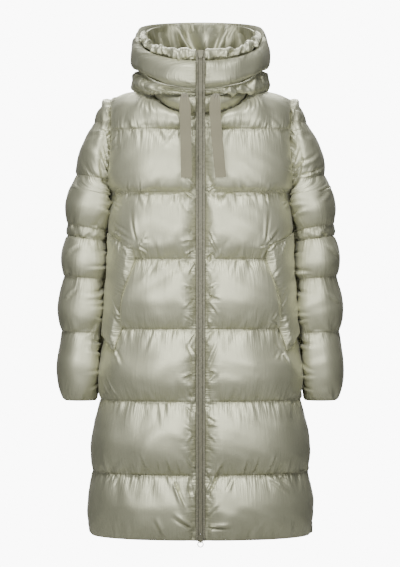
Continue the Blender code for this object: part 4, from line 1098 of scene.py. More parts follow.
def drag_all(relief, cloth, side, folds, larger=1.0, within=1.0):
    """Folds given by x and z of both ends, as seen from the front, and width and depth in mm."""
    for *ends, width, depth in folds:
        x0, z0, x1, z1 = (value / 1000 for value in ends)
        start = nearest_place(cloth, side * x0, z0, within)
        x1, z1 = x0 + (x1 - x0) * larger, z0 + (z1 - z0) * larger
        end = nearest_place(cloth, side * x1, z1, within)
        if start != end:
            depth = larger * min(depth, FOLD_STEEPEST * width) / 1000
            drag(relief, cloth.across, cloth.down, start, end, larger * width / 1000, depth)


def slack(relief, across, down, seed, size, depth, count=7):
    """Slow swells of about the given size."""
    draw = np.random.default_rng(seed)
    for _ in range(count):
        turn = draw.uniform(0, pi)
        wave = 2 * pi / (size * draw.uniform(0.7, 1.8))
        phase = draw.uniform(0, 2 * pi)
        wander = 0.6 * np.sin(down * wave * 0.6 + phase * 2)
        relief += depth / count**0.5 * np.sin(
            (across * cos(turn) + down * sin(turn)) * wave + phase + wander
        )


def swollen(cloth, seed, *swells, full=1.0):
    """Slow swells of a panel, each of a size and depth, that keep off its seams."""
    total = np.zeros(cloth.outside.shape[:2])
    for k, (size, depth) in enumerate(swells):
        slack(total, cloth.across, cloth.down, seed + k, size, depth)
    return total * full * np.sin(pi * cloth.share)[:, None] ** 0.6


# How far the painted seam shade and the puckers reach from the stitching.
SEAM_SHADE_REACH, PUCKER_REACH = 0.004, 0.026


def sewn_near(to_level, to_upright):
    """The three sewn numbers, from the distances to level and to upright stitching."""
    # The first number is the painted seam shade; the other two are pucker strengths.
    distances = (
        np.minimum(to_level, to_upright) / SEAM_SHADE_REACH,
        to_level / PUCKER_REACH,
        to_upright / PUCKER_REACH * 2,
    )
    return np.exp(-np.stack(distances, axis=-1))


def sewn_cloth(cloth):
    to_level = np.min([np.abs(cloth.down - cloth.down[row]) for row in cloth.seams], axis=0)
    return sewn_near(to_level, np.minimum(*both_ways(cloth.across, 1)))


# %% [markdown]
# ## Closing the mesh
# The padding is solid to look at: a fine outside, a plain inside and an edge between them. The
# inside is seldom seen, so it has one vertex where the outside has many. The edge between them
# is sewn like a zip: at each step the border that lags behind moves on by one vertex.


# %% Closing the mesh
def zip_up(fine, coarse, places_fine, places_coarse):
    """Triangles between two borders that run the same way."""
    faces, i, k = [], 0, 0
    while i < len(fine) - 1 or k < len(coarse) - 1:
        fine_left, coarse_left = i < len(fine) - 1, k < len(coarse) - 1
        if not coarse_left or (fine_left and places_fine[i + 1] <= places_coarse[k + 1] + 1e-9):
            faces.append((fine[i], fine[i + 1], coarse[k]))
            i += 1
        else:
            faces.append((fine[i], coarse[k + 1], coarse[k]))
            k += 1
    return faces


def quads(index):
    a, b, c, d = index[:-1, :-1], index[:-1, 1:], index[1:, 1:], index[1:, :-1]
    return np.stack([a, b, c, d], axis=2).reshape(-1, 4)


SEWN_INSIDE = 0.4  # how much of the sewn numbers the inside shows


def close_cloth(name, outside, inside, places, sewn, finish, every=6):
    """One closed mesh from a fine outside and an inside thinned to one row in every few."""
    rows, columns = outside.shape[:2]
    keep_rows = np.unique(np.append(np.arange(0, rows, every), rows - 1))
    keep_columns = np.unique(np.append(np.arange(0, columns, every), columns - 1))
    plain = inside[np.ix_(keep_rows, keep_columns)]
    fine = np.arange(rows * columns).reshape(rows, columns)
    coarse = rows * columns + np.arange(plain.shape[0] * plain.shape[1]).reshape(plain.shape[:2])
    faces = [tuple(face) for face in quads(fine)]
    faces += [tuple(face[::-1]) for face in quads(coarse)]
    along_rows, along_columns = np.arange(rows), np.arange(columns)
    faces += zip_up(fine[0, ::-1], coarse[0, ::-1], -along_columns[::-1], -keep_columns[::-1])
    faces += zip_up(fine[-1], coarse[-1], along_columns, keep_columns)
    faces += zip_up(fine[:, 0], coarse[:, 0], along_rows, keep_rows)
    faces += zip_up(fine[::-1, -1], coarse[::-1, -1], -along_rows[::-1], -keep_rows[::-1])
    points = np.concatenate([outside.reshape(-1, 3), plain.reshape(-1, 3)])
    thin = np.ix_(keep_rows, keep_columns)
    flat = np.concatenate([places.reshape(-1, 2), places[thin].reshape(-1, 2)])
    sewn = np.concatenate([sewn.reshape(-1, 3), sewn[thin].reshape(-1, 3) * SEWN_INSIDE])
    return add_cloth(name, points, faces, flat, sewn, finish)


def add_cloth(name, points, faces, flat, sewn, finish):
    """A mesh object with its cloth map and its sewn numbers, faces outwards, on the coat."""
    mesh = bpy.data.meshes.new(name)
    mesh.from_pydata(points.tolist(), [], [tuple(int(i) for i in face) for face in faces])
    corners = np.zeros(len(mesh.loops), np.int32)
    mesh.loops.foreach_get("vertex_index", corners)
    layer = mesh.uv_layers.new(name="cloth")
    layer.data.foreach_set("uv", flat[corners].astype(np.float32).ravel())
    layer = mesh.attributes.new("sewn", "FLOAT_VECTOR", "POINT")
    layer.data.foreach_set("vector", sewn.astype(np.float32).ravel())
    shape = bmesh.new()
    shape.from_mesh(mesh)
    bmesh.ops.remove_doubles(shape, verts=shape.verts, dist=2e-6)
    bmesh.ops.dissolve_degenerate(shape, edges=shape.edges, dist=1e-7)
    if shape.calc_volume(signed=True) < 0:
        bmesh.ops.reverse_faces(shape, faces=shape.faces)
    open_edges = sum(not edge.is_manifold for edge in shape.edges)
    shape.to_mesh(mesh)
    shape.free()
    mesh.shade_smooth()
    mesh.set_sharp_from_angle(angle=radians(70))
    mesh.materials.append(finish)
    made = add_object(name, mesh)
    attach(made, "coat")
    triangles = sum(len(face.vertices) - 2 for face in mesh.polygons)
    print(f"{name}: {triangles} triangles, {open_edges} open edges")
    return made


mirror = np.array((-1.0, 1.0, 1.0))
SIDES = {1: "right", -1: "left"}
seam_lines = {}


def stand_for(made, node):
    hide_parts(node)


def sew(name, node, cloth, relief, side=1, every=6, painted_shade=0.0):
    """Lays the relief on the cloth, closes the mesh and hides the solid that it stands for."""
    outside = cloth.outside + cloth.out * relief[:, :, None]
    inside = cloth.inside
    if side < 0:
        outside, inside = outside * mirror, inside * mirror
    places = np.stack([cloth.across, cloth.down], axis=2)
    sewn = sewn_cloth(cloth)
    # Painted shade: the first sewn number, which deepens the colour, is raised to at least this.
    sewn[:, :, 0] = np.maximum(sewn[:, :, 0], painted_shade)
    stand_for(close_cloth(name, outside, inside, places, sewn, shell_cloth, every), node)
    out = cloth.out * (mirror if side < 0 else 1)
    seam_lines[name] = [(outside[row], out[row]) for row in cloth.seams]


# %% [markdown]
# ## Folds placed one by one
# Drag folds start where something is sewn hard: the zip, the ends of a pocket, an armhole, the
# crook of an arm. They're written down as they show from the front, in millimetres: x and z of
# the sewn end, x and z of the end that runs out, and then the width and depth.

# %% Folds placed one by one
LEFT_FRONT_FOLDS = (
    (-105, -6, -128, -40, 5, 1.5), (-102, -8, -116, -46, 5, 1.8), (-99, -12, -104, -50, 5, 1.8),
    (-96, -18, -90, -52, 5, 1.5), (-13, -220, -34, -206, 3, 4), (-13, -198, -29, -181, 3, 3),
    (-131, -311, -139, -236, 5, 2.2), (-180, -285, -135, -311, 3, 4),
    (-178, -271, -137, -299, 3, 2.5), (-174, -299, -186, -283, 3, 2.5),
    (-174, -299, -168, -279, 3, 2.5), (-127, -315, -109, -291, 3, 3),
    (-127, -318, -103, -307, 3, 3.5), (-127, -322, -105, -336, 3, 3.5),
    (-123, -328, -117, -352, 3, 3), (-180, -220, -166, -198, 3, 3.5),
    (-180, -220, -156, -206, 3, 4), (-180, -224, -158, -238, 3, 4), (-180, -226, -166, -250, 3, 3),
    (-147, -212, -149, -183, 2.5, 3), (-121, -212, -123, -179, 2.5, 3.5),
    (-186, -124, -166, -102, 3, 3), (-186, -116, -170, -86, 3, 3), (-11, -293, -38, -281, 3, 3),
    (-11, -307, -46, -313, 4, 3), (-11, -328, -36, -342, 4, 4), (-11, -252, -34, -242, 3, 2.5),
    (-11, -352, -27, -381, 3, 3), (-11, -409, -42, -399, 4, 3.5), (-11, -429, -36, -450, 3, 3),
    (-13, -474, -36, -460, 3, 3), (-11, -498, -29, -525, 3, 3), (-11, -559, -27, -513, 4, 4),
    (-13, -578, -40, -590, 4, 4.5), (-11, -629, -29, -604, 3, 3.5), (-11, -663, -34, -641, 3, 4),
    (-11, -698, -36, -686, 4, 4.5), (-13, -702, -29, -722, 3, 4), (-11, -777, -34, -740, 4, 4.5),
    (-107, -777, -123, -740, 4, 4), (-82, -779, -88, -753, 3, 3), (-58, -783, -72, -746, 3.5, 3.5),
    (-40, -783, -48, -755, 3, 3), (-54, -797, -27, -862, 5, 5.5), (-13, -895, -62, -864, 6, 6),
    (-74, -913, -97, -871, 6, 3.5), (-13, -834, -23, -799, 4, 3.5), (-180, -781, -194, -805, 3, 3),
    (-166, -783, -180, -814, 3, 3), (-174, -531, -156, -521, 3, 2), (-174, -531, -194, -521, 3, 2),
    (-174, -533, -174, -551, 3, 2), (-174, -533, -158, -566, 4, 2.5),
    (-172, -629, -198, -580, 3, 3), (-188, -627, -206, -592, 3, 2.5),
)
RIGHT_FRONT_FOLDS = (
    (105, -6, 126, -38, 5, 1.5), (102, -8, 113, -46, 5, 1.8), (98, -12, 102, -50, 5, 1.6),
    (93, -18, 86, -50, 5, 1.5), (15, -202, 32, -191, 3, 3.5), (15, -208, 34, -202, 3, 4),
    (15, -216, 29, -224, 3, 3.5), (15, -283, 40, -342, 3, 3.5), (19, -305, 34, -340, 3, 4),
    (135, -315, 166, -281, 4, 4.5), (137, -318, 184, -291, 3, 4), (133, -313, 139, -236, 5, 2),
    (135, -318, 121, -322, 3, 3), (135, -210, 145, -187, 3, 3), (176, -216, 162, -196, 3, 3.5),
    (178, -224, 164, -230, 3, 3.5), (178, -224, 172, -240, 3, 3.5), (133, -210, 139, -238, 3, 3),
    (186, -173, 162, -155, 3, 3), (188, -151, 176, -130, 3, 3), (13, -407, 38, -395, 4, 4.5),
    (13, -419, 46, -431, 4, 4.5), (15, -427, 38, -466, 3, 4), (25, -476, 13, -464, 3, 3),
    (160, -480, 141, -470, 3, 3.5), (158, -454, 145, -474, 3, 2.5), (166, -533, 151, -517, 3, 2),
    (166, -533, 184, -523, 3, 2), (166, -535, 166, -559, 3, 2), (168, -535, 186, -566, 4, 2.5),
    (164, -535, 151, -553, 3, 2.5), (13, -564, 38, -511, 4, 4), (13, -572, 34, -580, 4, 4),
    (15, -598, 36, -576, 4, 3.5), (11, -665, 36, -681, 4, 4.5), (11, -686, 40, -686, 4, 3.5),
    (13, -702, 32, -720, 3, 4), (29, -785, 52, -753, 3.5, 3.5), (109, -783, 121, -744, 3.5, 3),
    (86, -787, 97, -749, 3.5, 3), (137, -779, 154, -740, 3.5, 3), (11, -830, 48, -759, 5, 5.5),
    (15, -891, 72, -889, 6, 5), (13, -868, 40, -844, 4, 3.5), (139, -795, 182, -828, 4, 3),
    (162, -791, 192, -816, 4, 2.5), (64, -795, 52, -824, 3.5, 2.5),
)
LEFT_SLEEVE_FOLDS = (
    (-170, -174, -210, -133, 4, 4.5), (-170, -161, -201, -118, 3, 4),
    (-172, -141, -193, -97, 3, 3.5), (-187, -298, -224, -281, 3, 4),
    (-191, -399, -234, -415, 4, 5.5), (-191, -422, -226, -430, 3, 3.5),
    (-191, -351, -228, -360, 3, 3), (-191, -331, -220, -327, 3, 2.5),
    (-195, -523, -226, -517, 3, 5), (-197, -548, -228, -537, 3, 3.5),
    (-197, -570, -226, -579, 3, 3.5), (-199, -597, -224, -610, 3, 3.5),
    (-193, -436, -220, -442, 3, 3), (-195, -475, -220, -467, 3, 3),
    (-282, -430, -265, -413, 3, 2.5), (-278, -337, -259, -322, 3, 2.5),
    (-187, -254, -214, -240, 3, 3), (-185, -215, -212, -223, 3, 3),
)
RIGHT_SLEEVE_FOLDS = (
    (189, -170, 228, -135, 3, 4.5), (191, -153, 210, -124, 3, 4), (203, -176, 245, -143, 3, 3.5),
    (245, -225, 272, -192, 3, 3), (189, -337, 212, -331, 3, 3), (189, -358, 224, -370, 4, 5.5),
    (197, -409, 226, -415, 4, 5), (199, -451, 224, -457, 3, 3.5), (199, -477, 220, -473, 3, 3.5),
    (288, -347, 265, -325, 3, 3), (290, -438, 270, -424, 3, 2.5), (203, -521, 234, -523, 4, 5),
    (208, -541, 232, -568, 3, 3.5), (208, -581, 236, -587, 3, 4), (208, -601, 230, -614, 3, 3),
    (191, -254, 216, -242, 3, 3), (191, -215, 216, -225, 3, 3),
)

# %% [markdown]
# ## The fronts
# Each front is one panel from the hem to the shoulder, with seven channels. Its pleats come
# from three places: both sides of every quilting seam, the long seam of the zip, which crumples
# the cloth in a strip as wide as two fingers, and the side seam.

# %% Fronts
FRONT_GRID, BACK_GRID, SLEEVE_GRID = (0.0026, 0.0019), (0.0030, 0.0026), (0.0027, 0.0021)
# How much further apart, longer and deeper the large pleats are than the small ones.
LARGE_SPACING, LARGE_REACH, LARGE_DEPTH, LARGE_SCATTER = 3.1, 1.7, 1.15, 0.35
TAPE_OVERLAP = 0.0004  # how far the sewn edge lies over the zip tape
SIDE_OVERLAP = 0.0007  # and how far it lies over the back at the side seam
OVERLAP_REACH = 0.002
FULL_FROM = 1.4  # the slack cloth swells wherever the padding is nearly full
FRONT_PLEATS = Pleats(0.0108, 0.058, 0.0024)
ZIP_PLEATS = Pleats(0.0085, 0.024, 0.0030, 0.0, 0.5), Pleats(0.020, 0.050, 0.0034, 0.2, 0.7)
SIDE_PLEATS = Pleats(0.010, 0.036, 0.0020, 0.0, 0.3)


def quilt(cloth, seed, small):
    """Pleats on both sides of every seam inside a panel, and on the inner side of its ends."""
    relief = np.zeros(cloth.outside.shape[:2])
    spacing, reach, depth = small.spacing, small.reach, small.depth
    large = Pleats(spacing * LARGE_SPACING, reach * LARGE_REACH, depth * LARGE_DEPTH)
    large = large._replace(scatter=LARGE_SCATTER)
    for k, row in enumerate(cloth.seams):
        for side in (1, -1):
            away = side * (cloth.down - cloth.down[row])
            gather(relief, cloth.across, away, seed + 31 * k + side, small)
            gather(relief, cloth.across, away, seed + 37 * k + side, large)
    return relief


def make_front(side, seed):
    cloth = weave(right_front, *FRONT_GRID)
    width = cloth.across[:, -1:]
    beside_back = np.exp((cloth.across - width) / OVERLAP_REACH)
    below_arm = (cloth.outside[:, :, 2] < CHEST_SEAM) * beside_back
    for layer in (cloth.inside, cloth.outside):
        layer[:, :, 0] -= TAPE_OVERLAP * np.exp(-cloth.across / OVERLAP_REACH)
        layer[:, :, 1] += SIDE_OVERLAP * below_arm
    relief = quilt(cloth, seed, FRONT_PLEATS)
    for k, pleats in enumerate(ZIP_PLEATS):
        gather(relief, cloth.down, cloth.across, seed + 5 + k, pleats)
    gather(relief, cloth.down, width - cloth.across, seed + 7, SIDE_PLEATS)
    drag_all(relief, cloth, side, RIGHT_FRONT_FOLDS if side > 0 else LEFT_FRONT_FOLDS)
    full = np.clip(cloth.full * FULL_FROM, 0, 1)
    relief += swollen(cloth, seed + 8, (0.11, 0.0014), (0.045, 0.0007), full=full)
    relief *= pinned(cloth.across, 1, 0.004)
    sew(f"padded_front_{SIDES[side]}", f"front_{SIDES[side]}", cloth, relief, side)


make_front(1, 11)
make_front(-1, 23)

# %% [markdown]
# ## The back
# One wide panel with the same channels. Nothing crosses it, so its pleats are plain, and the
# middle of each channel is the fullest part of the coat.

# %% Back
back_cloth = weave(whole_back, *BACK_GRID)
relief = quilt(back_cloth, 41, Pleats(0.0130, 0.060, 0.0021))
for k, away in enumerate(both_ways(back_cloth.across, 1)):
    gather(relief, back_cloth.down, away, 47 + k, Pleats(0.010, 0.030, 0.0010, 0.0, 0.3))
relief += swollen(back_cloth, 49, (0.12, 0.0018), (0.05, 0.0006))
relief *= pinned(back_cloth.across, 1)
sew("padded_back", "back", back_cloth, relief)

# %% [markdown]
# ## The sleeves
# A sleeve has an upper and a lower piece, which meet at the elbow in a narrow gathered band.
# The cap is dragged from the shoulder towards the armhole, and the inner side of the arm is
# crushed against the body, so its folds run level.


# %% Sleeves
CAP_THINNING, CAP_THIN_REACH = 0.5, 0.022
BAND_DARKER = 0.35  # the elbow band lies in its own folds' shade
OUTER_SIDE, OUTER_CALM = (0.7, 0.98), 0.5  # the arm's outer side has the shallowest folds
SLEEVE_PLEATS, CAP_PLEATS = Pleats(0.0120, 0.048, 0.0021), Pleats(0.0135, 0.065, 0.0052, -0.8, 0.4)
BAND_CRUMPLE = (  # off the band's upper seam, and off its lower one
    (Pleats(0.0095, 0.030, 0.0030, 0.6, 0.6), Pleats(0.0190, 0.034, 0.0030, -0.8, 0.8)),
    (Pleats(0.0095, 0.030, 0.0034, -0.6, 0.6), Pleats(0.0190, 0.034, 0.0034, 0.8, 0.8)),
)


def make_sleeve(side, seed):
    name = SIDES[side]
    elbow = 4  # of the sleeve's seams, counted from the cap
    for part, first, last in (("upper", 0, elbow), ("lower", elbow, None)):
        cloth = weave(right_sleeve, *SLEEVE_GRID, first, last, by_height=True)
        if part == "lower":
            cloth.inside[0, :, 2] -= GAP
            cloth.outside[0, :, 2] -= GAP
        else:
            thinner = CAP_THINNING * np.exp(-((cloth.down / CAP_THIN_REACH) ** 2))[:, :, None]
            cloth.outside[:] += (cloth.inside - cloth.outside) * thinner
        seeded = seed + 100 * first
        relief = quilt(cloth, seeded, SLEEVE_PLEATS)
        folds = RIGHT_SLEEVE_FOLDS if side > 0 else LEFT_SLEEVE_FOLDS
        folds = [fold for fold in folds if (fold[1] / 1000 > ELBOW_SEAM) == (part == "upper")]
        drag_all(relief, cloth, side, folds, 1.5, 0.5)
        relief += swollen(cloth, seeded + 8, (0.08, 0.0014), (0.04, 0.0007))
        painted_shade = 0.0
        if part == "upper":
            start, crumple = cloth.down[cloth.seams[-2]], np.zeros_like(relief)
            to_elbow = cloth.down[-1:] - cloth.down
            for k, away in enumerate((cloth.down - start, to_elbow)):
                for shift, pleats in zip((21, 25), BAND_CRUMPLE[k]):
                    gather(crumple, cloth.across, away, seeded + shift + k, pleats, 0.001)
            on_band = cloth.down > start
            relief, painted_shade = np.where(on_band, crumple, relief), np.where(on_band, BAND_DARKER, 0.0)
            for k, away in enumerate(both_ways(cloth.across, 1)):
                gather(relief, cloth.down, away, seeded + 11 + k, CAP_PLEATS)
            relief *= ramp(cloth.down, 0.004, 0.032)
        relief *= ramp(cloth.down, 0.0, 0.003)
        relief *= 1 - OUTER_CALM * ramp(cloth.out[:, :, 0], *OUTER_SIDE)
        piece = f"sleeve_{part}_{name}"
        sew("padded_" + piece, piece, cloth, relief, side, painted_shade=painted_shade)


make_sleeve(1, 61)
make_sleeve(-1, 77)

# %% [markdown]
# ## The pocket welts
# Each welt is a padded strip that slants across two quilting seams. It is sewn down along its
# inner side and at both ends, where the cloth around it puckers.

# %% Welts
WELT_CROWN, WELT_PADDING, WELT_EDGE_LIFT = 0.024, 0.005, 0.0026
WELT_ROW_STEP, WELT_COLUMN_STEP = 0.0022, 0.0018
WELT_PLEATS = (  # off its two sides, and off its two ends
    Pleats(0.0085, 0.034, 0.0026, 0.9, 0.4), Pleats(0.020, 0.040, 0.0032, -0.7, 0.4),
    Pleats(0.008, 0.040, 0.0030, 0.2, 0.6), Pleats(0.008, 0.034, 0.0028, -0.2, 0.6),
)


def make_welt(side, seed):
    form = right_front
    down, across = travel(form.inside, 0).mean(axis=1), travel(form.inside, 1).mean(axis=0)
    grid = (
        (down, even(down[welt_bottom_row], down[welt_top_row], WELT_ROW_STEP)),
        (across, even(across[WELT_INNER_COLUMN], across[WELT_OUTER_COLUMN], WELT_COLUMN_STEP)),
    )
    inside, way, full = (refine(values, *grid) for values in (form.inside, form.way, form.full))
    way = unit_rows(way)
    heights = inside[:, :, 2]
    swell = np.zeros_like(heights)
    for channel in BODY_CHANNELS:
        share = (heights - channel.bottom) / (channel.top - channel.bottom)
        within = (share >= 0) & (share <= 1)
        swell = np.where(within, channel.crown * channel_profile(share) * full, swell)
    fullest = WELT_CROWN * front_fullness(0.8)
    u, v = travel(inside, 1), travel(inside, 0)
    to_sides, to_ends = np.minimum(*both_ways(u, 1)), np.minimum(*both_ways(v, 0))
    to_edge = np.minimum(to_sides, to_ends)
    plump = ramp(to_edge, 0.0, 0.012) ** 0.6
    over = (swell + WELT_EDGE_LIFT) * (1 - plump) + (fullest + WELT_PADDING) * plump
    over = np.maximum(swell, over)
    under = inside + way * (CLOTH + swell + GAP)[:, :, None]
    outside = inside + way * (CLOTH + over + GAP)[:, :, None]
    out = outward(outside, way)
    relief = np.zeros_like(u)
    edges = [(v, away) for away in both_ways(u, 1)] + [(u, away) for away in both_ways(v, 0)]
    for k, (edge, pleats) in enumerate(zip(edges, WELT_PLEATS)):
        gather(relief, *edge, seed + k, pleats)
    relief *= ramp(to_edge, 0.0, 0.003)
    outside = outside + out * relief[:, :, None]
    sewn = sewn_near(to_ends, to_sides)
    if side < 0:
        outside, under = outside * mirror, under * mirror
    name = SIDES[side]
    places = np.stack([u, v], axis=2)
    made = close_cloth(f"welt_{name}", outside, under, places, sewn, shell_cloth, 4)
    stand_for(made, f"pocket_welt_{name}")


make_welt(1, 201)
make_welt(-1, 211)

# %% [markdown]
# ## The collar and the hood
# The collar is a fat roll round the neck. Above it a strip of cloth is gathered on a casing,
# and it widens to the sides and back into the bag of the hood. The band round the face opening
# is plump and smooth, and inside its edge lies a ruched roll.


# %% Collar, hood bag and band
RING_ROW_STEP, RING_COLUMN_STEP, BEHIND_STEPS = 0.0023, 0.0024, 12
SAG_FROM_FRONT, SAG_TO_BACK = (22, 50), (128, 96)  # degrees from the front, round the hood
SAG_STARTS, SAG_ENDS, SAG_OF_INSIDE = (0.006, 0.022), (0.075, 0.03), 0.8
WIDE_SPACING, WIDE_REACH, WIDE_SCATTER = 2.7, 1.6, 0.4  # the wide pleats beside the small ones
ZIP_END_PLEATS = Pleats(0.008, 0.024, 0.0012, 0.0, 0.5)
COLLAR_LIFT = GAP * 1.4  # what keeps the collar off the neck's seam


def ring_grid(rings):
    grid = []
    for ring in rings:
        half = [front_ring_angle(ring, column) for column in range(FRONT_NECK_COLUMNS + 1)]
        behind = [90 + 180 * k / BEHIND_STEPS for k in range(1, BEHIND_STEPS)]
        angles = half + behind + [360 - angle for angle in reversed(half)]
        grid.append([ring_point(ring, angle) for angle in angles])
    return np.array(grid)


def ring_cloth(inside_rings, outside_rings):
    inner, outer = ring_grid(inside_rings), ring_grid(outside_rings)
    down, across = travel(outer, 0).mean(axis=1), travel(outer, 1).mean(axis=0)
    rows = even(down[0], down[-1], RING_ROW_STEP)
    grid = (down, rows), (across, even(across[0], across[-1], RING_COLUMN_STEP))
    inside, outside = refine(inner, *grid), refine(outer, *grid)
    out, ends = outward(outside, outside - inside), [0, len(rows) - 1]
    return Cloth(inside, outside, out, travel(outside, 0), travel(outside, 1), ends, None, None)


def make_ring(name, node, rings, seed, pleats, swell, droop=0.0, eyelets=(), lean=0.0):
    """pleats: spacing, reach and depth for each of the lower and the upper seam."""
    cloth = ring_cloth(*rings)
    around = np.degrees(np.arctan2(np.abs(cloth.outside[:, :, 0]), -cloth.outside[:, :, 1]))
    beside = ramp(around, *SAG_FROM_FRONT) * ramp(around, *SAG_TO_BACK)
    sag = droop * beside * ramp(cloth.down, *SAG_ENDS) * ramp(cloth.down, *SAG_STARTS)
    cloth.outside[:, :, 2] -= sag
    cloth.inside[:, :, 2] -= sag * SAG_OF_INSIDE
    relief, to_seams = np.zeros(cloth.outside.shape[:2]), both_ways(cloth.down, 0)
    for k, ((spacing, reach, depth), away) in enumerate(zip(pleats, to_seams)):
        wide = Pleats(spacing * WIDE_SPACING, reach * WIDE_REACH, depth, -lean, WIDE_SCATTER)
        gather(relief, cloth.across, away, seed + k, Pleats(spacing, reach, depth, lean))
        gather(relief, cloth.across, away, seed + 4 + k, wide)
    for k, away in enumerate(both_ways(cloth.across, 1)):
        gather(relief, cloth.down, away, seed + 8 + k, ZIP_END_PLEATS)
    slack(relief, cloth.across, cloth.down, seed + 12, 0.09, swell)
    for k, (x, z, count, reach, depth) in enumerate(eyelets):
        radiate(relief, cloth, x, z, seed + 20 + k, count, reach, depth)
    relief *= pinned(cloth.down, 0) * pinned(cloth.across, 1)
    relief -= EDGE_TURN * sum(np.exp(-((away / EDGE_REACH) ** 2)) for away in to_seams)
    sew(name, node, cloth, relief, every=5)


def lifted(rings):
    """The collar's rings, with the lowest one raised off the neck's seam."""
    names = ("front_height", "side_height", "back_height")
    heights = {name: getattr(rings[0], name) + COLLAR_LIFT for name in names}
    return (rings[0]._replace(**heights),) + rings[1:]


make_ring(
    "padded_collar", "collar", (lifted(COLLAR_IN), lifted(COLLAR_OUT)), 301,
    ((0.0075, 0.026, 0.0022), (0.0075, 0.022, 0.0026)), 0.0010, 0.0,
    ((-0.033, -0.014, 9, 0.020, 0.0030), (0.033, -0.014, 9, 0.020, 0.0030)),
)
make_ring(
    "hood_bag", "hood_shell", (SHELL_IN, SHELL_OUT), 321,
    ((0.0085, 0.050, 0.0050), (0.0075, 0.042, 0.0052)), 0.0026, 0.007,
    ((-0.033, -0.006, 11, 0.026, 0.0040), (0.033, -0.007, 11, 0.026, 0.0040)), 0.6,
)
make_ring(
    "padded_hood_band", "hood_band", (BAND_IN, BAND_OUT), 341,
    ((0.0085, 0.026, 0.0022), (0.0085, 0.024, 0.0022)), 0.0012,
)

# %% [markdown]
# ## The ruched roll and the crown
# The roll inside the face opening is a tube whose cloth is gathered along its whole length. It
# is drawn through short sections, closed round, and thins out where it runs in behind. There
# the crown of the hood hangs from the back rim, in one large fold between small ones.


# %% Ruched roll and folded crown
ROLL_ROW_STEP, ROLL_COLUMN_STEP = 0.0021, 0.0024
ROLL_SHADE, ROLL_PUCKER = 120, 0.8
CROWN_COLUMNS, CROWN_ROWS = 150, 46
# The crown lies in the hood's shade: its deeper tone eases where a fold stands forward.
CROWN_SHADE, EASED_BY_RELIEF, EASED_BY_FOLD, FOOT_SHADE = 0.95, 90, 15, 0.3
CROWN_INSET = 0.004  # what keeps the crown off the hood's bag


def make_facing(side, seed):
    sections = []
    for share in np.arange(FACING_COLUMNS + 1) / FACING_COLUMNS:
        angles = [start + (FACING_END - start) * share for start in map(ring_start, FACING)]
        section = np.array([ring_point(*pair) for pair in zip(FACING, angles)])
        fullness = 1 - FACING_TAPER * float(ramp(share, 0.7, 1.0))
        sections.append(section[1] + (section - section[1]) * fullness)
    sections = np.array(sections)
    count = len(FACING)
    wrapped = np.concatenate([sections[:, -3:], sections, sections[:, :4]], axis=1)
    round_it = travel(wrapped, 1).mean(axis=0)
    along = travel(sections, 0).mean(axis=1)
    start, end = round_it[3], round_it[3 + count]
    rows, columns = even(along[0], along[-1], ROLL_ROW_STEP), even(start, end, ROLL_COLUMN_STEP)
    tube = refine(wrapped, (along, rows), (round_it, columns))
    tube[:, -1] = tube[:, 0]
    out = outward(tube, tube - tube.mean(axis=1, keepdims=True))
    out[:, 0] = out[:, -1] = unit_rows(out[:, 0] + out[:, -1])
    u, v = travel(tube, 1), travel(tube, 0)
    relief = np.zeros(tube.shape[:2])
    from_edge, to_root = np.abs(u - (round_it[5] - start)), u[:, -1:] - u
    for k, (spacing, depth) in enumerate(((0.0095, 0.0050), (0.021, 0.0075), (0.047, 0.0080))):
        pleats = Pleats(spacing, 0.11, depth, 0.2 - 0.3 * k, 0.35)
        gather(relief, v, from_edge, seed + k, pleats, 0.003)
    gather(relief, v, to_root, seed + 7, Pleats(0.012, 0.05, 0.0040, 0.0, 0.3))
    slack(relief, u, v, seed + 3, 0.05, 0.0016)
    relief *= pinned(v, 0, 0.004, 0.004) * (1 - 0.85 * ramp(v / v[-1:], 0.55, 0.85))
    tube = tube + out * relief[:, :, None]
    tube[:, -1] = tube[:, 0]
    if side < 0:
        tube = tube * mirror
    index = np.arange(relief.size).reshape(relief.shape)
    ends = np.array([tube[0, :-1].mean(axis=0), tube[-1, :-1].mean(axis=0)])
    faces = [tuple(face) for face in quads(index)]
    for k in range(index.shape[1] - 1):
        faces.append((index[0, k + 1], index[0, k], relief.size))
        faces.append((index[-1, k], index[-1, k + 1], relief.size + 1))
    flat = np.concatenate([np.stack([u, v], axis=2).reshape(-1, 2), [(0, 0), (0, v[-1, 0])]])
    points = np.concatenate([tube.reshape(-1, 3), ends])
    sewn = np.zeros((len(points), 3))
    sewn[: relief.size, 0] = np.clip(-relief * ROLL_SHADE, 0, 0.5).ravel()
    sewn[: relief.size, 2] = ROLL_PUCKER
    made = add_cloth(f"ruched_roll_{SIDES[side]}", points, faces, flat, sewn, shell_cloth)
    stand_for(made, f"hood_facing_{SIDES[side]}")


make_facing(1, 401)
make_facing(-1, 411)


def crown_forward(across, along):
    """How far the crown's folds stand forward at a place, on numbers or whole arrays."""
    total = 0.0
    for fold in CROWN_FOLDS:
        middle = fold.middle + fold.lean * along
        total = total + fold.forward * np.exp(-(((across - middle) / fold.reach) ** 2))
    return total * np.sin(pi * (0.08 + 0.84 * along)) ** 0.8


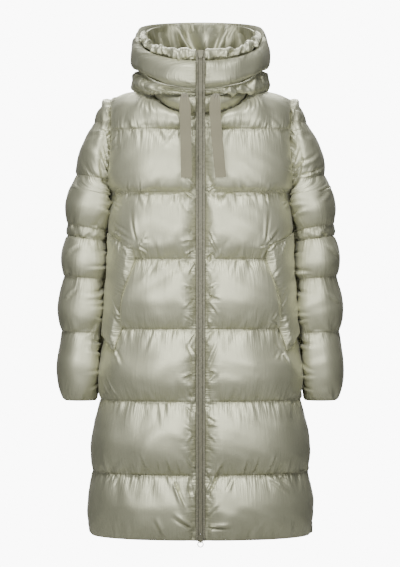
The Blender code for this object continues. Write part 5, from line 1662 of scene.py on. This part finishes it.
def make_crown():
    """The crown of the hood hangs from its back rim, folded in at the middle."""
    shares = np.linspace(0, 1, CROWN_ROWS)
    inner, way = np.zeros((2, CROWN_ROWS, CROWN_COLUMNS + 1, 3))
    for row, share in enumerate(shares):
        for column in range(CROWN_COLUMNS + 1):
            angle = CROWN_START + (360 - 2 * CROWN_START) * column / CROWN_COLUMNS
            point = mix(ring_point(CROWN_TOP, angle), ring_point(CROWN_FOOT, angle), share)
            inward = unit((-point[0], -point[1], 0.0))
            way[row, column] = inward
            forward = (0.0, crown_forward(point[0], share), 0.0)
            inner[row, column] = point + inward * CROWN_INSET - forward
    outside = inner + way * CROWN_WALL
    out = outward(outside, way)
    u, v = travel(outside, 1), travel(outside, 0)
    relief = np.zeros_like(u)
    gather(relief, u, v, 431, Pleats(0.010, 0.06, 0.0028))
    gather(relief, u, v, 432, Pleats(0.045, 0.13, 0.0095, 0.0, 0.6))
    gather(relief, u, v[-1:] - v, 434, Pleats(0.030, 0.07, 0.0050, 0.0, 0.6))
    slack(relief, u, v, 433, 0.05, 0.0022)
    relief *= pinned(v, 0, 0.022)
    outside = outside + out * relief[:, :, None]
    sewn = sewn_near(np.minimum(*both_ways(v, 0)), np.full_like(u, 1.0))
    forward = crown_forward(inner[:, :, 0], shares[:, None])
    deep = CROWN_SHADE - relief * EASED_BY_RELIEF - forward * EASED_BY_FOLD
    deep = deep + FOOT_SHADE * ramp(v / v[-1:], 0.3, 0.9)
    sewn[:, :, 0] = np.maximum(sewn[:, :, 0], np.clip(deep, 0.2, 1.0))
    places = np.stack([u, v], axis=2)
    made = close_cloth("folded_crown", outside, inner, places, sewn, shell_cloth, 3)
    stand_for(made, "hood_crown")


make_crown()

# %% [markdown]
# ## The drawstring
# Both ends of the drawstring come out of a gathered place under the hood and hang free. Each is
# a flat ribbon, pleated where it comes out, cut square below and a little wavy on its way down.

# %% Drawstring ribbons
Ribbon = namedtuple("Ribbon", "across depth height width")
RIBBON_THICKNESS, RIBBON_BOW, RIBBON_STEP, RIBBON_COLUMNS = 0.0014, 0.0006, 0.0018, 15
RIBBON_PLEAT, PLEAT_AT, PLEAT_REACH, PLEAT_WAVES = 0.0016, 0.012, 0.014, 3.2
RIBBON_WAVE, RIBBON_WAVE_LENGTH = 0.0007, 0.062
RIBBON_LEFT = (
    Ribbon(-0.033, -0.148, -0.008, 0.008),
    Ribbon(-0.0328, -0.156, -0.01, 0.012),
    Ribbon(-0.0322, -0.162, -0.02, 0.019),
    Ribbon(-0.0316, -0.1645, -0.035, 0.0225),
    Ribbon(-0.0308, -0.164, -0.06, 0.0225),
    Ribbon(-0.03, -0.1635, -0.09, 0.0225),
    Ribbon(-0.0294, -0.164, -0.12, 0.0225),
    Ribbon(-0.029, -0.165, -0.152, 0.0225),
    Ribbon(-0.0286, -0.165, -0.181, 0.0225),
)
RIBBON_RIGHT = (
    Ribbon(0.0335, -0.148, -0.0085, 0.008),
    Ribbon(0.0325, -0.156, -0.0105, 0.012),
    Ribbon(0.03, -0.162, -0.02, 0.019),
    Ribbon(0.0292, -0.1645, -0.035, 0.0225),
    Ribbon(0.0304, -0.164, -0.06, 0.0225),
    Ribbon(0.0326, -0.1635, -0.09, 0.0225),
    Ribbon(0.0354, -0.164, -0.12, 0.0225),
    Ribbon(0.0384, -0.165, -0.152, 0.0225),
    Ribbon(0.0412, -0.165, -0.18, 0.0225),
)


def make_ribbon(name, rows, seed):
    table = np.array(rows)
    length = length_along(table[:, :3])
    steps = even(0.0, length[-1], RIBBON_STEP)
    line = curve_through(table, length, steps, 0)
    share = np.linspace(-1, 1, RIBBON_COLUMNS)
    lean = np.gradient(line[:, 0], steps)
    phase = np.random.default_rng(seed).uniform(0, 2 * pi)
    points = []
    for k, (x, y, z, width) in enumerate(line):
        pleat = RIBBON_PLEAT * exp(-(((steps[k] - PLEAT_AT) / PLEAT_REACH) ** 2))
        wave = RIBBON_WAVE * sin(steps[k] * 2 * pi / RIBBON_WAVE_LENGTH + phase)
        across = share * width / 2
        depth = y - RIBBON_BOW * (1 - share**2) + wave + pleat * np.cos(PLEAT_WAVES * pi * share)
        points.append(np.stack([x + across, depth, z + across * lean[k]], axis=1))
    front = np.array(points)
    front[:, :, 1] -= RIBBON_THICKNESS
    behind = front + (0.0, RIBBON_THICKNESS, 0.0)
    behind[:, (0, -1), 1] -= RIBBON_THICKNESS * 0.35
    front[:, (0, -1), 1] += RIBBON_THICKNESS * 0.25
    places = np.stack(np.broadcast_arrays(share[None, :] * 0.011, steps[:, None]), axis=2)
    made = close_cloth(name, front, behind, places, np.zeros(front.shape), ribbon_cloth, 1)
    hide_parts(name.replace("ribbon", "drawstring"))
    print(name, "is", round(float(length[-1]), 4), "m long")


make_ribbon("ribbon_left", RIBBON_LEFT, 5)
make_ribbon("ribbon_right", RIBBON_RIGHT, 6)

# %% [markdown]
# ## What repeats: teeth and stitches
# The zip's teeth and the stitches along each seam are one small shape, repeated. A Geometry
# Nodes tree, written with the same small class as the materials, puts it on a row of points.
# Each point carries two directions, along the row and out of the cloth, and a little
# unevenness keeps the row from looking printed.

# %% The tree that repeats a shape along a row
repeat_tree = bpy.data.node_groups.new("repeat_on_a_row", "GeometryNodeTree")
for socket_name, kind in (
    ("Row", "NodeSocketGeometry"),
    ("Shape", "NodeSocketObject"),
    ("Finish", "NodeSocketMaterial"),
    ("Uneven", "NodeSocketFloat"),
    ("Seed", "NodeSocketInt"),
):
    repeat_tree.interface.new_socket(socket_name, in_out="INPUT", socket_type=kind)
repeat_tree.interface.new_socket("Result", in_out="OUTPUT", socket_type="NodeSocketGeometry")


def given(name):
    return Shade(repeat_tree).node("NodeGroupInput", output=name)


def direction_of(name):
    settings = {"data_type": "FLOAT_VECTOR"}
    return Shade(repeat_tree).node("GeometryNodeInputNamedAttribute", settings, {"Name": name})


start = Shade(repeat_tree)
align, alike = "FunctionNodeAlignRotationToVector", (1.0, 1.0, 1.0)
stand = start.node(align, {"axis": "Z"}, {"Vector": direction_of("out")})
turned = {"Rotation": stand, "Vector": direction_of("along")}
turn = start.node(align, {"axis": "X", "pivot_axis": "Z"}, turned)
limits = {0: (-1.0, -1.0, -1.0), 1: alike, "Seed": given("Seed")}
chance = start.node("FunctionNodeRandomValue", {"data_type": "FLOAT_VECTOR"}, limits)
scale = {0: chance, "Scale": given("Uneven")}
scaled = start.node("ShaderNodeVectorMath", {"operation": "SCALE"}, scale)
size = start.node("ShaderNodeVectorMath", {"operation": "ADD"}, {0: scaled, 1: alike})
shape = start.node("GeometryNodeObjectInfo", (), {"Object": given("Shape")}, "Geometry")
row = {"Points": given("Row"), "Instance": shape, "Rotation": turn, "Scale": size}
put = start.node("GeometryNodeInstanceOnPoints", (), row)
real = start.node("GeometryNodeRealizeInstances", (), {"Geometry": put})
painted = {"Geometry": real, "Material": given("Finish")}
painted = start.node("GeometryNodeSetMaterial", (), painted)
repeat_tree.links.new(painted.socket, repeat_tree.nodes.new("NodeGroupOutput").inputs[0])


def repeat(name, rows, shape, finish, uneven, seed):
    """Rows of small shapes as one plain mesh; a row is its points, along and out directions."""
    points, along, out = (np.concatenate(parts) for parts in zip(*rows))
    mesh = bpy.data.meshes.new(name)
    mesh.from_pydata(np.asarray(points).tolist(), [], [])
    for label, values in (("along", along), ("out", out)):
        layer = mesh.attributes.new(label, "FLOAT_VECTOR", "POINT")
        layer.data.foreach_set("vector", np.asarray(values, np.float32).ravel())
    row = add_object(name + "_row", mesh)
    modifier = row.modifiers.new("repeat", "NODES")
    modifier.node_group = repeat_tree
    wanted = {"Shape": shape, "Finish": finish, "Uneven": uneven, "Seed": seed}
    for item in repeat_tree.interface.items_tree:
        if item.in_out == "INPUT" and item.name in wanted:
            modifier[item.identifier] = wanted[item.name]
    graph = bpy.context.evaluated_depsgraph_get()
    made_mesh = bpy.data.meshes.new_from_object(row.evaluated_get(graph), depsgraph=graph)
    row.modifiers.remove(modifier)
    bpy.data.objects.remove(row)
    made_mesh.name = name
    made = add_object(name, made_mesh)
    made_mesh.shade_smooth()
    made_mesh.set_sharp_from_angle(angle=radians(50))
    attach(made, "coat")
    print(f"{name}: {len(points)} repeats, {len(made_mesh.polygons)} faces")
    return made


def small_shape(name, build):
    """A hidden object that the rows copy."""
    shape = bmesh.new()
    build(shape)
    mesh = bpy.data.meshes.new(name)
    shape.to_mesh(mesh)
    shape.free()
    return bpy.data.objects.new(name, mesh)


# %% Zip teeth and the ribs of the tape
TOOTH_PITCH = 0.0026
TAPE_RIB_PLACES, TAPE_RIB_RADIUS = (0.0061, 0.0091), 0.0006
SLIDER_LENGTH, SLIDER_BELOW_HEM = 0.0165, 0.0030
CHAIN_BOTTOM = HEM - SLIDER_BELOW_HEM + SLIDER_LENGTH + GAP
CHAIN_TOP = ZIP_TOP - SLIDER_LENGTH - GAP
Depth = namedtuple("Depth", "height depth")
ZIP_DEPTHS = [Depth(YOKE_SEAM, read(BODY, "front", YOKE_SEAM) + CLOTH)] + [
    Depth(ring.front_height, ring.front)
    for ring in (NECK_OUT, COLLAR_OUT[3], SHELL_OUT[3], BAND_OUT[4], FACING[3])
]


def zip_face(height):
    """Depth of the zip's face at a height."""
    if height < YOKE_SEAM:
        return -(read(BODY, "front", height) + CLOTH)
    return -read(ZIP_DEPTHS, "depth", height)


def zip_row(x, start, end, pitch, lift):
    """Points up the zip at x, with the directions along it and out of it."""
    heights = even(start, end, pitch)
    points = np.array([(x, zip_face(height) - lift, height) for height in heights])
    along = direction(points)
    out = np.cross(np.broadcast_to((1.0, 0.0, 0.0), along.shape), along)
    return points, along, out * np.sign(-out[:, 1:2])


TOOTH_SIZE = (0.0017, 0.0019, 0.0021)  # across, along and out, for the numbers below


def build_tooth(shape):
    """A moulded tooth: a rounded head and a narrower foot, across the zip."""
    profile = ((-1.0, 0.62), (-0.25, 0.62), (0.1, 0.42), (0.45, 0.5), (0.8, 0.46), (1.0, 0.2))
    rings = []
    for along_it, half in profile:
        ring = []
        for side, up in ((-1, -0.5), (1, -0.5), (1, 0.25), (0.6, 0.5), (-0.6, 0.5), (-1, 0.25)):
            place = zip((side * half, along_it, up), TOOTH_SIZE)
            ring.append(shape.verts.new([share * size for share, size in place]))
        rings.append(ring)
    for first, second in zip(rings, rings[1:]):
        for k in range(6):
            shape.faces.new((first[k], first[(k + 1) % 6], second[(k + 1) % 6], second[k]))
    shape.faces.new(rings[0][::-1])
    shape.faces.new(rings[-1])
    bmesh.ops.recalc_face_normals(shape, faces=shape.faces)


tooth = small_shape("tooth", build_tooth)
rows = []
for side in (-1, 1):
    start = CHAIN_BOTTOM + 0.0012 + (0.0 if side < 0 else TOOTH_PITCH / 2)
    points, along, out = zip_row(side * 0.0013, start, CHAIN_TOP - 0.0014, TOOTH_PITCH, 0.0013)
    rows.append((points, along * side, out))
teeth = repeat("zip_teeth", rows, tooth, teeth_finish, 0.03, 3)
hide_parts("zip_chain")


def tube(points, radius, sides=6):
    """Vertices and faces of a closed round tube along a line."""
    count, along = len(points), direction(points)
    first = unit_rows(np.cross(along, (1.0, 0.0, 0.0)))
    second = np.cross(along, first)
    turns = (2 * pi * np.arange(sides) / sides)[None, :, None]
    spokes = first[:, None] * np.cos(turns) + second[:, None] * np.sin(turns)
    vertices = (points[:, None] + radius * spokes).reshape(-1, 3).tolist()
    faces = []
    for k in range(count - 1):
        for j in range(sides):
            a, b = k * sides + j, k * sides + (j + 1) % sides
            faces.append((a, b, b + sides, a + sides))
    faces.append(tuple(range(sides))[::-1])
    faces.append(tuple(range((count - 1) * sides, count * sides)))
    return vertices, faces


def add_tubes(name, lines, radius, finish):
    vertices, faces = [], []
    for line in lines:
        more, around = tube(line, radius)
        faces += [tuple(index + len(vertices) for index in face) for face in around]
        vertices += more
    mesh = bpy.data.meshes.new(name)
    mesh.from_pydata(vertices, [], faces)
    shape = bmesh.new()
    shape.from_mesh(mesh)
    bmesh.ops.recalc_face_normals(shape, faces=shape.faces)
    shape.to_mesh(mesh)
    shape.free()
    mesh.shade_smooth()
    mesh.materials.append(finish)
    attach(add_object(name, mesh), "coat")


add_tubes(
    "tape_ribs",
    [
        zip_row(side * place, HEM + 0.004, ZIP_TOP - 0.002, 0.004, 0.0002)[0]
        for side in (-1, 1)
        for place in TAPE_RIB_PLACES
    ],
    TAPE_RIB_RADIUS,
    tape_cloth,
)

# %% Stitches
STITCH_LENGTH, STITCH_PITCH, STITCH_RADIUS, STITCH_STANDS = 0.0030, 0.0040, 0.00032, 0.6
TAPE_STITCH_PLACE = 0.0076


def build_stitch(shape):
    bmesh.ops.create_uvsphere(shape, u_segments=6, v_segments=5, radius=1.0)
    bmesh.ops.rotate(shape, verts=shape.verts, matrix=Matrix.Rotation(radians(90), 3, "Y"))
    scale = (STITCH_LENGTH / 2, STITCH_RADIUS, STITCH_RADIUS)
    bmesh.ops.scale(shape, verts=shape.verts, vec=scale)


stitch = small_shape("stitch", build_stitch)


def stitch_row(line, out, inset=0.006):
    """Places every few millimetres along a seam, on its points, with its directions."""
    length = length_along(line)
    wanted = np.arange(inset, length[-1] - inset, STITCH_PITCH)
    points, outs = (
        np.stack([np.interp(wanted, length, values[:, axis]) for axis in range(3)], axis=1)
        for values in (line, out)
    )
    outs = unit_rows(outs)
    return points + outs * STITCH_RADIUS * STITCH_STANDS, direction(points), outs


for name, lines in seam_lines.items():
    sewn_rows = [stitch_row(line, out) for line, out in lines[1:-1]]
    if sewn_rows:
        repeat(name.replace("padded", "stitches"), sewn_rows, stitch, thread_cloth, 0.08, 9)
tape_rows = [
    zip_row(side * TAPE_STITCH_PLACE, HEM + 0.006, ZIP_TOP - 0.004, STITCH_PITCH, 0.0003)
    for side in (-1, 1)
]
repeat("stitches_zip_tape", tape_rows, stitch, thread_cloth, 0.08, 10)

# %% Hand the other solids their finishes
for name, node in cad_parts.items():
    finish = {
        "zip_tape_left": tape_cloth,
        "zip_tape_right": tape_cloth,
        "zip_slider_top": slider_lacquer,
        "zip_slider_bottom": slider_lacquer,
        "zip_pull_ring": pull_metal,
    }.get(name)
    if finish:
        node.data.materials.clear()
        node.data.materials.append(finish)
